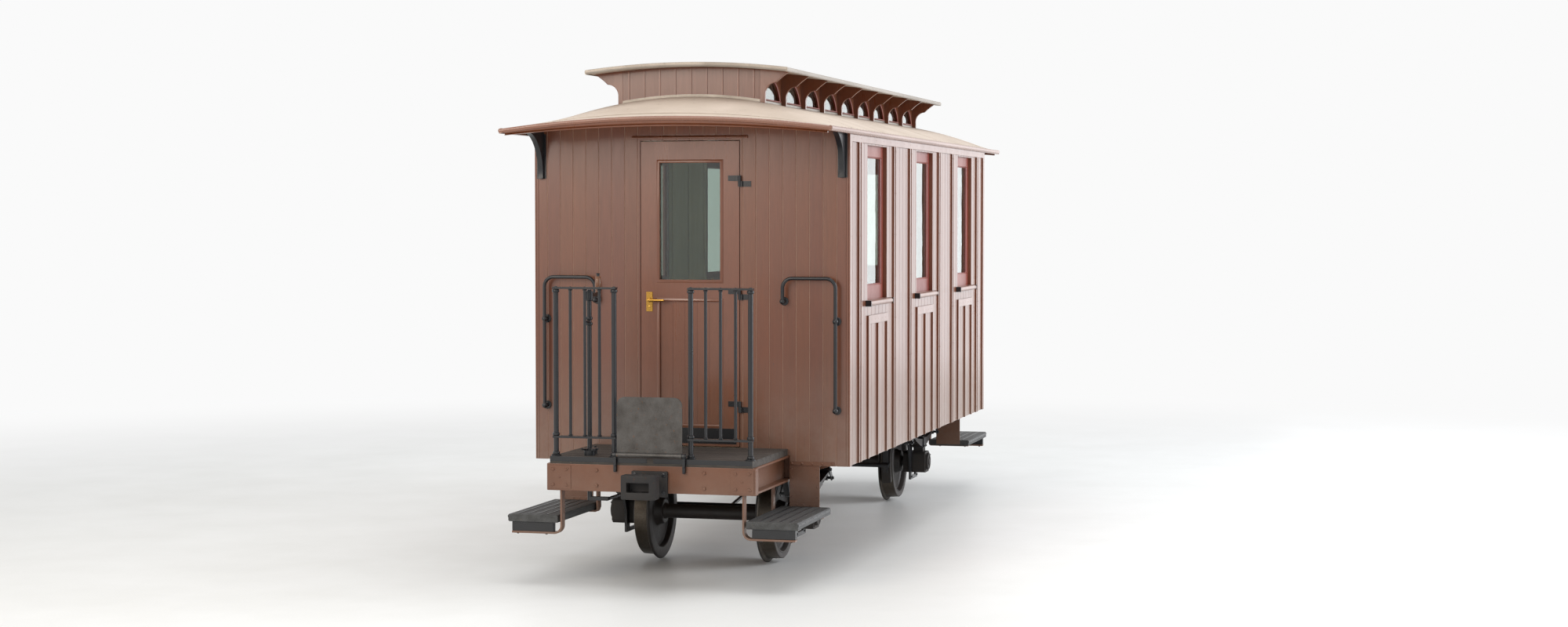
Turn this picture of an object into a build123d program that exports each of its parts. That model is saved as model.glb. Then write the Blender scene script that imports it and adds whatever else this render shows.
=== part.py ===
# Narrow-gauge passenger coach on two axles, with open end platforms and a clerestory roof.
# +X points to the front platform, +Y to the left side and +Z up. Sizes are in millimetres.
# Z = 0 is the bottom of the wheel flanges, halfway between the axles and the two sides.
from build123d import *
import math
import os

os.makedirs("parts", exist_ok=True)

# Track, wheels and axles
gauge = 750
gauge_play = 5
flange_depth = 25
flange_width = 28
tread_diameter = 560
tread_taper = 4
wheel_width = 110
rim_thickness = 48
web_thickness = 26
hub_radius = 78
hub_stand_out = 14
axle_inset = 540
flange_tip_width = 10
axle_diameter = 90
wheel_seat_diameter = 104
journal_diameter = 70
fit_clearance = 0.05

# Body shell
body_length = 4580
body_width = 2000
wall_thickness = 60
board_thickness = 15
board_pitch = 104
board_joint = 3
wall_bottom_above_rail = 650
wall_height = 2030
floor_step_up = 100
floor_thickness = 40
seat_gap = 0.3

# Side windows
window_count = 3
window_pitch = 1500
window_width = 560
window_sill_height = 990
window_head_drop = 70
sash_setback = 25
sash_thickness = 30
sash_stile = 45
sash_top_rail = 70
sash_bottom_rail = 90
glass_thickness = 4
glass_rebate = 8

# Mouldings on the sides
batten_width = 28
batten_thickness = 10
batten_pair_gap = 24
batten_pair_offset = 500
corner_strip_width = 60
sill_bar_length = 650
sill_bar_depth = 35
sill_bar_height = 34
sill_batten_drop = 60
sill_batten_height = 55
centre_bead_width = 16

# Roofs
roof_radius = 2650
roof_thickness = 20
roof_side_projection = 30
roof_end_overhang = 550
roof_end_rise = 68
cornice_side_depth = 15
cornice_middle_depth = 39
cornice_thickness = 30
cornice_inset = 6
clerestory_half_width = 440
clerestory_wall_thickness = 22
clerestory_bays = 9
clerestory_end_inset = 27.5
upper_roof_half_width = 640
upper_roof_edge_above_eave = 360
upper_roof_rise = 40
upper_roof_thickness = 22
upper_roof_end_overhang = 120
bracket_thickness = 25
bracket_foot = 30
bracket_reach = 180
bracket_foot_height = 55
lunette_width = 380
lunette_height = 118
lunette_sill = 24

# End doors and their hinges
door_opening_width = 640
door_head_drop = 50
door_thickness = 42
door_gap = 5
door_glass_width = 390
door_glass_height = 720
door_glass_drop = 130
hinge_stand_out = 12
hinge_pin_radius = 6
hinge_knuckle_radius = 10
hinge_knuckle_length = 34
hinge_leaf_length = 70
hinge_leaf_thickness = 4
hinge_end_inset = 250
hinge_leaf_root = 6
hinge_count = 3
hinge_arm_root = 14
hinge_arm_tip = 4
knuckle_gap = 1
handle_height = 900
handle_backset = 55
handle_plate_width = 40
handle_plate_height = 120
handle_plate_drop = 70
handle_stand_out = 40
handle_lever = 105
handle_radius = 8

# Ironwork on the end walls
rail_rod_radius = 11
rail_stand_off = 50
rail_corner_inset = 70
rail_bottom = 340
rail_middle = 880
rail_top = 1140
rail_reach = 330
rail_foot_drop = 140
rail_bend = 60
rail_boss_radius = 17
corbel_leg = 290
corbel_reach = 330
corbel_thickness = 34
corbel_root = 26
corbel_nose = 16
corbel_inset = 20

# Underframe and platforms
sole_bar_web_y = 565
sole_bar_width = 62
sole_bar_height = 160
sole_bar_web = 12
sole_bar_flange = 14
platform_length = 800
platform_half_width = 620
headstock_thickness = 60
headstock_overlap = 20
cross_member_width = 60
cross_member_height = 110
cross_member_places = (0, 620)
end_member_inset = 110
outrigger_tip = 45
plank_pitch = 100
plank_joint = 4
plank_joint_depth = 12

# Springs, axleboxes and guards
axlebox_y = 580
axlebox_length = 170
axlebox_size = 160
axlebox_end_wall = 20
axlebox_lid_thickness = 14
axlebox_lid_radius = 62
spring_seat_height = 30
guard_thickness = 16
guard_groove_depth = 14
guard_leg_width = 60
guard_foot_depth = 50
guard_top_half = 250
guard_keeper_height = 26
guard_head_height = 20
spring_half_length = 425
spring_camber = 60
spring_leaf_count = 7
spring_leaf_thickness = 9
spring_width = 75
spring_side_gap = 3
spring_bracket_width = 34
spring_eye_radius = 18
spring_pin_radius = 9
link_thickness = 8
link_run = 55
link_drop = 60
buckle_length = 90

# Steps
step_top_above_rail = 400
step_thickness = 45
step_outer_y = 890
step_inner_gap = 12
step_plate_inner_y = 620
step_plate_width = 200
step_plate_thickness = 6
step_plate_flange = 40
step_plate_drop = 285
strap_width = 50
strap_thickness = 12
strap_outer_bend = 45
strap_inner_bend = 14
strap_inner_offset = 110
bearer_height = 56
bearer_width = 40

# Platform railing, gangway plate and hand brake
railing_height = 1000
railing_inset = 45
railing_edge = 8
railing_bar_radius = 9
railing_post_radius = 15
railing_gate_half = 235
railing_bars = 3
railing_foot_radius = 30
railing_foot_height = 8
railing_low_share = 0.12
flat_rail_height = 12
flat_rail_width = 44
gangway_half_width = 200
gangway_corner_radius = 50
gangway_length = 340
gangway_thickness = 6
gangway_pin_radius = 8
gangway_barrel_radius = 14
gangway_pin_stand_out = 22
gangway_hinge_height = 22
lug_thickness = 16
lug_reach = 40
brake_column_bar = 1
brake_column_inset = 125
brake_column_radius = 14
brake_column_height = 960
brake_collar_radius = 34
brake_collar_height = 30
brake_hub_radius = 24
brake_stay_height = 790
brake_stay_width = 24
brake_stay_thickness = 10
crank_reach = 170
crank_grip_length = 110
crank_width = 22
crank_thickness = 20
crank_end = 12
crank_spindle_radius = 8
crank_grip_radius = 19

# Brake rigging
brake_gap = 6
brake_block_thickness = 42
brake_block_width = 70
brake_block_half_angle = 26
brake_hanger_thickness = 12
brake_hanger_width = 40
brake_hanger_below_axle = 60
brake_beam_radius = 17
brake_shaft_radius = 20
brake_rod_radius = 12
brake_shaft_rise = 60
brake_shaft_half = 260
brake_shaft_end = 20
brake_drop_thickness = 20
brake_drop_width = 50
brake_lever_length = 220
brake_lever_width = 50
brake_lever_thickness = 24
brake_lever_tilt = 70
brake_pull_radius = 10
brake_pull_y = -300
brake_pull_bar = 22
brake_pull_drop = 45

# Centre buffer
coupler_above_rail = 605
coupler_shank = 76
coupler_shank_length = 150
coupler_plate_width = 220
coupler_plate_height = 150
coupler_plate_thickness = 16
coupler_head_length = 95
coupler_head_width = 210
coupler_head_height = 140
coupler_slot_height = 54
coupler_slot_depth = 72
coupler_slot_width = 134
coupler_pin_radius = 17
coupler_pin_setback = 38
coupler_face_radius = 330

# Benches
bench_inner_y = 300
bench_seat_height = 430
bench_seat_depth = 400
bench_slat_width = 70
bench_slat_gap = 12
bench_slat_thickness = 22
bench_back_height = 900
bench_back_thickness = 24
bench_leg_thickness = 30
bench_leg_depth = 45
bench_leg_setback = 15
bench_wall_gap = 0.3
bench_rail_height = 50

# Levels and places that follow from the sizes above
wheelbase = body_length - 2 * axle_inset
tread_radius = tread_diameter / 2
axle_z = tread_radius + flange_depth
rail_z = flange_depth
wall_bottom = rail_z + wall_bottom_above_rail
eave = wall_bottom + wall_height
floor_top = wall_bottom + floor_step_up
floor_bottom = floor_top - floor_thickness
half_length = body_length / 2
half_width = body_width / 2
inner_x = half_length - wall_thickness
inner_y = half_width - wall_thickness
core_x = half_length - board_thickness
core_y = half_width - board_thickness
platform_end = half_length + platform_length
sole_bar_bottom = floor_bottom - sole_bar_height
sole_bar_outer = sole_bar_web_y + sole_bar_width
wheel_inner = gauge / 2 - gauge_play - flange_width + 3
wheel_outer = wheel_inner + wheel_width
flange_radius = tread_radius + flange_depth
roof_centre = eave - math.sqrt(roof_radius ** 2 - half_width ** 2)
roof_top_radius = roof_radius + roof_thickness
upper_edge = eave + upper_roof_edge_above_eave
upper_radius = (upper_roof_half_width ** 2 + upper_roof_rise ** 2) / (2 * upper_roof_rise)
upper_centre = upper_edge + upper_roof_rise - upper_radius
clerestory_half_length = half_length - clerestory_end_inset
clerestory_bay_pitch = (2 * clerestory_half_length - bracket_thickness) / clerestory_bays
step_top = rail_z + step_top_above_rail
step_bottom = step_top - step_thickness
axle_x = wheelbase / 2
block_back = axle_x - tread_radius - brake_gap - brake_block_thickness
brake_member_x = block_back - brake_hanger_thickness / 2
hanger_y = wheel_inner + flange_width + brake_gap + brake_block_width / 2
member_bottom = floor_bottom - cross_member_height
railing_outer_y = platform_half_width - railing_post_radius - railing_edge
railing_bar_ys = [
    railing_gate_half + (railing_outer_y - railing_gate_half) * (i + 1) / (railing_bars + 1)
    for i in range(railing_bars)
]
column_x = platform_end - brake_column_inset
column_y = -railing_bar_ys[brake_column_bar]
column_top = floor_top + brake_column_height
brake_pull_z = sole_bar_bottom - brake_pull_drop
grip_x = column_x - crank_reach + crank_end


standing = (Align.CENTER, Align.MIN)


def span(middle, width):
    return (middle - width / 2, middle + width / 2)


def block(x_range, y_range, z_range):
    # A box between two limits on each axis.
    lows = [min(limits) for limits in (x_range, y_range, z_range)]
    sizes = [max(limits) - min(limits) for limits in (x_range, y_range, z_range)]
    return Pos(*lows) * Box(*sizes, align=(Align.MIN, Align.MIN, Align.MIN))


def along_x(profile, start, end):
    # A profile drawn as (y, z), pulled out between two places along the coach.
    return extrude(Plane.YZ.offset(start) * profile, amount=end - start)


def along_y(profile, start, end):
    # A profile drawn as (x, z), pulled out between two places across the coach.
    return extrude(Plane.XZ.offset(-start) * profile, amount=start - end)


def along_z(profile, start, end):
    # A profile drawn as (x, y), pulled up between two heights.
    return extrude(Plane.XY.offset(start) * profile, amount=end - start)


def outline(*points):
    # A flat face with straight edges through the points.
    return make_face(Polyline(*points, close=True).edges())


def rod(start, end, radius):
    # A round bar between two points.
    line = Vector(*end) - Vector(*start)
    from_start = (Align.CENTER, Align.CENTER, Align.MIN)
    return Plane(origin=start, z_dir=line) * Cylinder(radius, line.length, align=from_start)


def upright(x, y, heights, radius):
    return rod((x, y, heights[0]), (x, y, heights[1]), radius)


def across(x, z, sides, radius):
    return rod((x, sides[0], z), (x, sides[1], z), radius)


def both_ends(shape):
    return [shape, mirror(shape, about=Plane.YZ)]


def both_sides(shape):
    return [shape, mirror(shape, about=Plane.XZ)]


def all_corners(shape):
    return [side for end in both_ends(shape) for side in both_sides(end)]


def turned(shape):
    # The same piece at the other end of the coach, turned half round.
    return Rot(0, 0, 180) * shape


def joined(shapes):
    # One part from pieces that touch or overlap.
    return Part() + list(shapes)


def save(node, shapes):
    # One STEP file for each named piece.
    solids = [solid for shape in shapes for solid in shape.solids()]
    export_step(solids[0] if len(solids) == 1 else Compound(solids), f"parts/{node}.step")


def roof_height(y, radius=roof_radius):
    # The height of an arch of the main roof at a distance from the middle.
    return roof_centre + math.sqrt(radius ** 2 - y ** 2)


def under_roof_arch(radius):
    # The disc inside an arch of the main roof, as a profile across the coach.
    return Pos(0, roof_centre) * Circle(radius)


def arched_strip(half, side_levels, middle_levels):
    # A strip across the coach between two arches, given as (bottom, top) at its sides and middle.
    bottom, top = [
        ThreePointArc((-half, side), (0, middle), (half, side))
        for side, middle in zip(side_levels, middle_levels)
    ]
    sides = [Line((y, side_levels[0]), (y, side_levels[1])) for y in (-half, half)]
    return make_face([bottom, top] + sides)


window_places = [window_pitch * (i - (window_count - 1) / 2) for i in range(window_count)]
window_bottom = wall_bottom + window_sill_height
window_top = eave - window_head_drop


# Wheels and axles
def wheel():
    # The profile is drawn as (distance from the middle of the track, radius).
    crown = flange_width - tread_taper * 2
    web_in = (wheel_inner + wheel_outer - web_thickness) / 2
    web_out = web_in + web_thickness
    rim_radius = tread_radius - rim_thickness
    hub_in = wheel_inner - hub_stand_out
    hub_out = wheel_outer + hub_stand_out
    bore = wheel_seat_diameter / 2 + fit_clearance
    flange_root = flange_radius - crown / 2
    tip = wheel_inner + (crown - flange_tip_width) / 2
    section = outline(
        (wheel_inner, flange_root),
        (tip, flange_radius),
        (tip + flange_tip_width, flange_radius),
        (wheel_inner + crown, flange_root),
        (wheel_inner + flange_width, tread_radius),
        (wheel_outer, tread_radius - tread_taper),
        (wheel_outer, rim_radius),
        (web_out, rim_radius - 12),
        (web_out, hub_radius + 14),
        (hub_out, hub_radius),
        (hub_out, bore),
        (hub_in, bore),
        (hub_in, hub_radius),
        (web_in, hub_radius + 14),
        (web_in, rim_radius - 12),
        (wheel_inner, rim_radius),
    )
    return revolve(Plane.YZ * section, Axis.Y)


def axle():
    # A stepped shaft: middle, wheel seats and journals, as (distance along, radius).
    seat_in = wheel_inner - hub_stand_out - 6
    seat_out = wheel_outer + hub_stand_out
    journal_end = axlebox_y + axlebox_length / 2 - axlebox_end_wall - 3
    half = outline(
        (0, 0),
        (0, axle_diameter / 2),
        (seat_in - 12, axle_diameter / 2),
        (seat_in, wheel_seat_diameter / 2),
        (seat_out, wheel_seat_diameter / 2),
        (seat_out + 6, journal_diameter / 2),
        (journal_end, journal_diameter / 2),
        (journal_end, 0),
    )
    shaft = revolve(Plane.YZ * half, Axis.Y)
    return joined(both_sides(shaft))


for end_name, side in (("front", 1), ("rear", -1)):
    place = Pos(side * wheelbase / 2, 0, axle_z)
    save(f"wheels_{end_name}", [place * piece for piece in both_sides(wheel())])
    save(f"axle_{end_name}", [place * axle()])


# Axleboxes, guards and leaf springs, drawn at the front left wheel
axlebox_in = axlebox_y - axlebox_length / 2
axlebox_out = axlebox_y + axlebox_length / 2
box_half = axlebox_size / 2
guard_y = (sole_bar_web_y - guard_thickness, sole_bar_web_y)
spring_mid_y = sole_bar_web_y + spring_side_gap + spring_width / 2
seat_z = axle_z + box_half + spring_seat_height


def axlebox():
    shell_x = (axle_x - box_half, axle_x + box_half)
    shell_z = (axle_z - box_half, axle_z + box_half)
    shell = block(shell_x, (axlebox_in, axlebox_out), shell_z)
    shell = fillet(shell.edges().filter_by(Axis.Y), 26)
    lid = across(axle_x, axle_z, (axlebox_out, axlebox_out + axlebox_lid_thickness), axlebox_lid_radius)
    pad_y = span(spring_mid_y, spring_width)
    pad = block((axle_x - 45, axle_x + 45), pad_y, (axle_z, seat_z))
    bore_y = (axlebox_in - 1, axlebox_out - axlebox_end_wall)
    bore = across(axle_x, axle_z, bore_y, journal_diameter / 2 + fit_clearance)
    body = shell + lid + pad - bore
    groove_y = (guard_y[0] - seat_gap, guard_y[1] + seat_gap)
    for way in (1, -1):
        near = axle_x + way * (box_half - guard_groove_depth)
        far = axle_x + way * (box_half + 1)
        body -= block((near, far), groove_y, (axle_z - box_half - 1, axle_z + box_half + 1))
    return body


def axle_guard():
    # A plate with a slot for the axlebox, two splayed legs and a keeper bar across its feet.
    slot = box_half - guard_groove_depth + seat_gap
    foot = axle_z - box_half - guard_foot_depth
    top = floor_bottom - sole_bar_flange
    leg_top = sole_bar_bottom
    half = outline(
        (0, top),
        (guard_top_half, top),
        (guard_top_half, leg_top),
        (slot + guard_leg_width, axle_z),
        (slot + guard_leg_width, foot),
        (0, foot),
    )
    plate = half + mirror(half, about=Plane.YZ)
    slot_low = foot + guard_keeper_height
    slot_high = leg_top - guard_head_height
    plate -= Pos(0, slot_low) * Rectangle(2 * slot, slot_high - slot_low, align=standing)
    return along_y(Pos(axle_x, 0) * plate, *guard_y)


spring_mid_z = seat_z + (spring_leaf_count - 0.5) * spring_leaf_thickness + 6
spring_eye_z = spring_mid_z + spring_camber + spring_eye_radius - spring_leaf_thickness / 2
spring_radius = (spring_half_length ** 2 + spring_camber ** 2) / (2 * spring_camber)


def spring_leaf(number):
    # One leaf, bent up at both ends; leaf 0 is the longest, on top.
    half = spring_half_length * (1 - number / (spring_leaf_count + 0.6))
    upper = spring_radius + (number - 0.5) * spring_leaf_thickness
    lower = upper + spring_leaf_thickness
    centre = spring_mid_z + spring_radius
    upper_rise = upper - math.sqrt(upper ** 2 - half ** 2)
    lower_rise = lower - math.sqrt(lower ** 2 - half ** 2)
    top_tip = centre - upper + upper_rise
    bottom_tip = centre - lower + lower_rise
    top = ThreePointArc((-half, top_tip), (0, centre - upper), (half, top_tip))
    bottom = ThreePointArc((-half, bottom_tip), (0, centre - lower), (half, bottom_tip))
    left = Line(top @ 0, bottom @ 0)
    right = Line(top @ 1, bottom @ 1)
    return make_face(top.edges() + bottom.edges() + left.edges() + right.edges())


def leaf_spring():
    profile = spring_leaf(0)
    for number in range(1, spring_leaf_count):
        profile += spring_leaf(number)
    for way in (1, -1):
        profile += Pos(way * spring_half_length, spring_eye_z) * Circle(spring_eye_radius)
    for way in (1, -1):
        profile -= Pos(way * spring_half_length, spring_eye_z) * Circle(spring_pin_radius + fit_clearance)
    spring_y = span(spring_mid_y, spring_width)
    leaves = along_y(Pos(axle_x, 0) * profile, *spring_y)
    buckle_z = (seat_z, spring_mid_z + spring_leaf_thickness / 2 + 8)
    buckle_y = (spring_y[0] - 8, spring_y[1] + 8)
    buckle = block(span(axle_x, buckle_length), buckle_y, buckle_z)
    return leaves + buckle


def spring_link(way):
    # Two link plates on two pins, from the spring's eye down to the bracket's foot.
    eye = (axle_x + way * spring_half_length, spring_eye_z)
    foot = (eye[0] + way * link_run, spring_eye_z - link_drop)
    inner = spring_mid_y - spring_width / 2 - seat_gap
    outer = spring_mid_y + spring_width / 2 + seat_gap
    slope = math.degrees(math.atan2(foot[1] - eye[1], foot[0] - eye[0]))
    length = math.hypot(link_run, link_drop)
    middle = Pos((eye[0] + foot[0]) / 2, (eye[1] + foot[1]) / 2) * Rot(0, 0, slope)
    plate = middle * SlotCenterToCenter(length, 2 * spring_eye_radius)
    pieces = [along_y(plate, inner - link_thickness, inner), along_y(plate, outer, outer + link_thickness)]
    for pin in (eye, foot):
        start = (pin[0], inner - link_thickness - 6, pin[1])
        end = (pin[0], outer + link_thickness + 6, pin[1])
        pieces.append(rod(start, end, spring_pin_radius))
    return joined(pieces)


def spring_bracket(way):
    # A hanger under the sole bar that ends in an eye for the link's lower pin.
    foot_x = axle_x + way * (spring_half_length + link_run)
    foot_z = spring_eye_z - link_drop
    shank = outline(
        (foot_x - way * 2, sole_bar_bottom),
        (foot_x + way * 70, sole_bar_bottom),
        (foot_x + way * spring_eye_radius, foot_z),
        (foot_x - way * spring_eye_radius, foot_z),
    )
    profile = shank + Pos(foot_x, foot_z) * Circle(spring_eye_radius)
    profile -= Pos(foot_x, foot_z) * Circle(spring_pin_radius + fit_clearance)
    return along_y(profile, spring_mid_y - spring_bracket_width / 2, spring_mid_y + spring_bracket_width / 2)


save("axleboxes", all_corners(axlebox()))
save("axle_guards", all_corners(axle_guard()))
save("leaf_springs", all_corners(leaf_spring()))
save("spring_links", [piece for way in (1, -1) for piece in all_corners(spring_link(way))])
save("spring_brackets", [piece for way in (1, -1) for piece in all_corners(spring_bracket(way))])


# Underframe: two channel sole bars, cross members and outriggers under the walls
def sole_bar():
    bar_end = platform_end - headstock_thickness
    web = outline(
        (sole_bar_web_y, sole_bar_bottom),
        (sole_bar_outer, sole_bar_bottom),
        (sole_bar_outer, sole_bar_bottom + sole_bar_flange),
        (sole_bar_web_y + sole_bar_web, sole_bar_bottom + sole_bar_flange),
        (sole_bar_web_y + sole_bar_web, floor_bottom - sole_bar_flange),
        (sole_bar_outer, floor_bottom - sole_bar_flange),
        (sole_bar_outer, floor_bottom),
        (sole_bar_web_y, floor_bottom),
    )
    return along_x(web, -bar_end, bar_end)


def cross_member(x):
    # A beam between the sole bars, and an outrigger from each sole bar to the wall.
    reach = span(x, cross_member_width)
    beam = block(reach, (-sole_bar_web_y, sole_bar_web_y), (member_bottom, floor_bottom))
    root = sole_bar_web_y + sole_bar_web
    arm = outline(
        (root, floor_bottom),
        (inner_y, floor_bottom),
        (inner_y, floor_bottom - outrigger_tip),
        (sole_bar_outer, sole_bar_bottom + sole_bar_flange),
        (root, sole_bar_bottom + sole_bar_flange),
    )
    arm -= Pos(root, floor_bottom - sole_bar_flange) * Rectangle(
        sole_bar_outer - root, sole_bar_flange, align=(Align.MIN, Align.MIN)
    )
    return [beam] + both_sides(along_x(arm, *reach))


half_places = (*cross_member_places, brake_member_x, half_length - end_member_inset)
member_places = sorted({way * place for place in half_places for way in (1, -1)})
save("sole_bars", both_sides(sole_bar()))
save("cross_members", [piece for x in member_places for piece in cross_member(x)])

headstock_x = (platform_end - headstock_thickness, platform_end)
headstock_y = platform_half_width + headstock_overlap
headstock = block(headstock_x, (-headstock_y, headstock_y), (sole_bar_bottom, floor_bottom))
save("headstocks", both_ends(headstock))

save("saloon_floor", [block((-inner_x, inner_x), (-inner_y, inner_y), (floor_bottom, floor_top))])


# Platform planks, laid across the coach
def platform_floor(hole_for_column):
    count = round(platform_length / plank_pitch)
    pitch = platform_length / count
    deck_y = (-platform_half_width, platform_half_width)
    deck = block((half_length, platform_end), deck_y, (floor_bottom, floor_top))
    for i in range(1, count):
        x = half_length + i * pitch
        deck -= block(span(x, plank_joint), deck_y, (floor_top - plank_joint_depth, floor_top))
    if hole_for_column:
        column = (column_x, column_y)
        deck -= rod((*column, floor_bottom), (*column, floor_top), brake_column_radius + 0.5)
    return deck


save("platform_floors", [platform_floor(True), turned(platform_floor(False))])


# Side walls: a core with the window openings, and boards nailed over it
def window_openings(y_range):
    half = window_width / 2
    return [block((x - half, x + half), y_range, (window_bottom, window_top)) for x in window_places]


def side_wall():
    core = outline(
        (inner_y, wall_bottom),
        (core_y, wall_bottom),
        (core_y, roof_height(core_y) - seat_gap),
        (inner_y, roof_height(inner_y) - seat_gap),
    )
    return along_x(core, -core_x, core_x) - window_openings((inner_y, core_y))


def side_boards():
    count = round(body_length / board_pitch)
    pitch = body_length / count
    top = roof_height(half_width) - seat_gap
    strips = []
    for i in range(count):
        start = -half_length + i * pitch + (board_joint / 2 if i else 0)
        end = -half_length + (i + 1) * pitch - (board_joint / 2 if i < count - 1 else 0)
        strips.append(block((start, end), (core_y, half_width), (wall_bottom, top)))
    return [strip - window_openings((core_y, half_width)) for strip in strips]


left_wall = side_wall()
left_boards = side_boards()
save("side_wall_left", [left_wall])
save("side_wall_right", [mirror(left_wall, about=Plane.XZ)])
save("side_boards", [copy for board in left_boards for copy in both_sides(board)])


# Mouldings on the sides: top rail, corner strips, batten pairs and the panels under the windows
def side_mouldings():
    proud = (half_width, half_width + batten_thickness)
    top_rail_z = (window_top + 8, eave - 12)
    upright_z = (wall_bottom, top_rail_z[0])
    strips = [block((-half_length, half_length), proud, top_rail_z)]
    for way in (1, -1):
        corner = way * half_length
        strips.append(block((corner, corner - way * corner_strip_width), proud, upright_z))
    for x in window_places:
        for side in (1, -1):
            for way in (1, -1):
                middle = x + side * batten_pair_offset + way * (batten_pair_gap + batten_width) / 2
                strips.append(block(span(middle, batten_width), proud, upright_z))
    grid = joined(strips)
    pieces = [grid]
    for x in window_places:
        half = window_width / 2
        low = window_bottom - sill_bar_height - sill_batten_drop
        panel = [block((x - half, x + half), proud, (low - sill_batten_height, low))]
        edge = half - batten_width / 2
        for middle, width in ((x - edge, batten_width), (x, centre_bead_width), (x + edge, batten_width)):
            panel.append(block(span(middle, width), proud, (wall_bottom, low - sill_batten_height)))
        pieces.append(joined(panel))
        sill = block(
            span(x, sill_bar_length),
            (half_width, half_width + sill_bar_depth),
            (window_bottom - sill_bar_height, window_bottom),
        )
        nose = sill.edges().filter_by(Axis.X).sort_by(Axis.Y)[-2:]
        pieces.append(fillet(nose, sill_bar_height * 0.45))
    return pieces


save("side_mouldings", [copy for piece in side_mouldings() for copy in both_sides(piece)])


# Window sashes and their glass
sash_outer = half_width - sash_setback
sash_inner = sash_outer - sash_thickness
sash_middle = (sash_outer + sash_inner) / 2


def window_glass(x):
    half = window_width / 2 - sash_stile + glass_rebate
    z_range = (window_bottom + sash_bottom_rail - glass_rebate, window_top - sash_top_rail + glass_rebate)
    y_range = span(sash_middle, glass_thickness)
    return block((x - half, x + half), y_range, z_range)


def window_sash(x):
    half = window_width / 2
    clear = half - sash_stile
    frame = block((x - half, x + half), (sash_inner, sash_outer), (window_bottom, window_top))
    clear_z = (window_bottom + sash_bottom_rail, window_top - sash_top_rail)
    frame -= block((x - clear, x + clear), (sash_inner, sash_outer), clear_z)
    return frame - window_glass(x)


save("window_sashes", [copy for x in window_places for copy in both_sides(window_sash(x))])
save("window_glass", [copy for x in window_places for copy in both_sides(window_glass(x))])


# End walls, with a doorway and a notch over the sole bars
door_half = door_opening_width / 2
door_top = eave - door_head_drop
hinge_span = door_top - floor_top - 2 * hinge_end_inset
hinge_pitch = hinge_span / (hinge_count - 1)
hinge_levels = [floor_top + hinge_end_inset + i * hinge_pitch for i in range(hinge_count)]
notch_half = sole_bar_outer + 5


def end_profile(half):
    tall = Pos(0, wall_bottom) * Rectangle(2 * half, wall_height * 1.5, align=standing)
    profile = tall & under_roof_arch(roof_radius - seat_gap)
    profile -= Pos(0, wall_bottom) * Rectangle(2 * notch_half, floor_bottom - wall_bottom, align=standing)
    return profile - Pos(0, floor_bottom) * Rectangle(2 * door_half, door_top - floor_bottom, align=standing)


def end_wall():
    wall = along_x(end_profile(inner_y), inner_x, core_x)
    sill = block((inner_x, half_length), (-door_half, door_half), (floor_bottom, floor_top))
    return wall + sill


def end_boards():
    count = round(2 * core_y / board_pitch)
    pitch = 2 * core_y / count
    strips = []
    for i in range(count):
        start = -core_y + i * pitch + (board_joint / 2 if i else 0)
        end = -core_y + (i + 1) * pitch - (board_joint / 2 if i < count - 1 else 0)
        strip = Pos((start + end) / 2, wall_bottom) * Rectangle(end - start, wall_height * 1.5, align=standing)
        strips.append(along_x(strip & end_profile(core_y), core_x, half_length))
    return strips


front_wall = end_wall()
front_boards = end_boards()
save("end_wall_front", [front_wall])
save("end_wall_rear", [turned(front_wall)])
save("end_boards", front_boards + [turned(board) for board in front_boards])


# End doors: leaf with glass, lever handle and knuckle hinges on the left jamb
leaf_half = door_half - door_gap
leaf_z = (floor_top + door_gap, door_top - door_gap)
leaf_x = (half_length - door_thickness, half_length)
hinge_x = half_length + hinge_stand_out
hinge_y = door_half
pane_z = (leaf_z[1] - door_glass_drop - door_glass_height, leaf_z[1] - door_glass_drop)
pane_x = (leaf_x[0] + leaf_x[1] - glass_thickness) / 2


def door_pane(grow):
    half = door_glass_width / 2 + grow
    return block((pane_x, pane_x + glass_thickness), (-half, half), (pane_z[0] - grow, pane_z[1] + grow))


def door_leaf():
    leaf = block(leaf_x, (-leaf_half, leaf_half), leaf_z)
    leaf -= block(leaf_x, (-door_glass_width / 2, door_glass_width / 2), pane_z)
    leaf -= door_pane(glass_rebate)
    panel_half = door_glass_width / 2
    panel_z = (leaf_z[0] + door_glass_drop, pane_z[0] - door_glass_drop)
    leaf -= block((leaf_x[1] - 10, leaf_x[1]), (-panel_half, panel_half), panel_z)
    for z in hinge_levels:
        upper = (z + knuckle_gap, z + hinge_knuckle_length)
        strap_x = (half_length, half_length + hinge_leaf_thickness)
        strap = block(strap_x, (leaf_half - hinge_leaf_length, leaf_half), upper)
        knuckle = upright(hinge_x, hinge_y, (upper[0], upper[1]), hinge_knuckle_radius)
        arm_y = (leaf_half - hinge_arm_root, hinge_y - hinge_arm_tip)
        arm = block((half_length + knuckle_gap, hinge_x), arm_y, upper)
        leaf += [strap, arm, knuckle]
        leaf -= upright(hinge_x, hinge_y, (upper[0], upper[1]), hinge_pin_radius + fit_clearance)
    return leaf


def door_handle():
    z = floor_top + handle_height
    y = handle_backset - leaf_half
    x = half_length + handle_stand_out
    plate_y = span(y, handle_plate_width)
    plate_low = z - handle_plate_drop
    plate_z = (plate_low, plate_low + handle_plate_height)
    plate = block((half_length, half_length + hinge_leaf_thickness), plate_y, plate_z)
    neck = rod((half_length, y, z), (x + handle_radius * 0.75, y, z), handle_radius + 1)
    lever = across(x, z, (y, y + handle_lever), handle_radius)
    return joined([plate, neck, lever])


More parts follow.
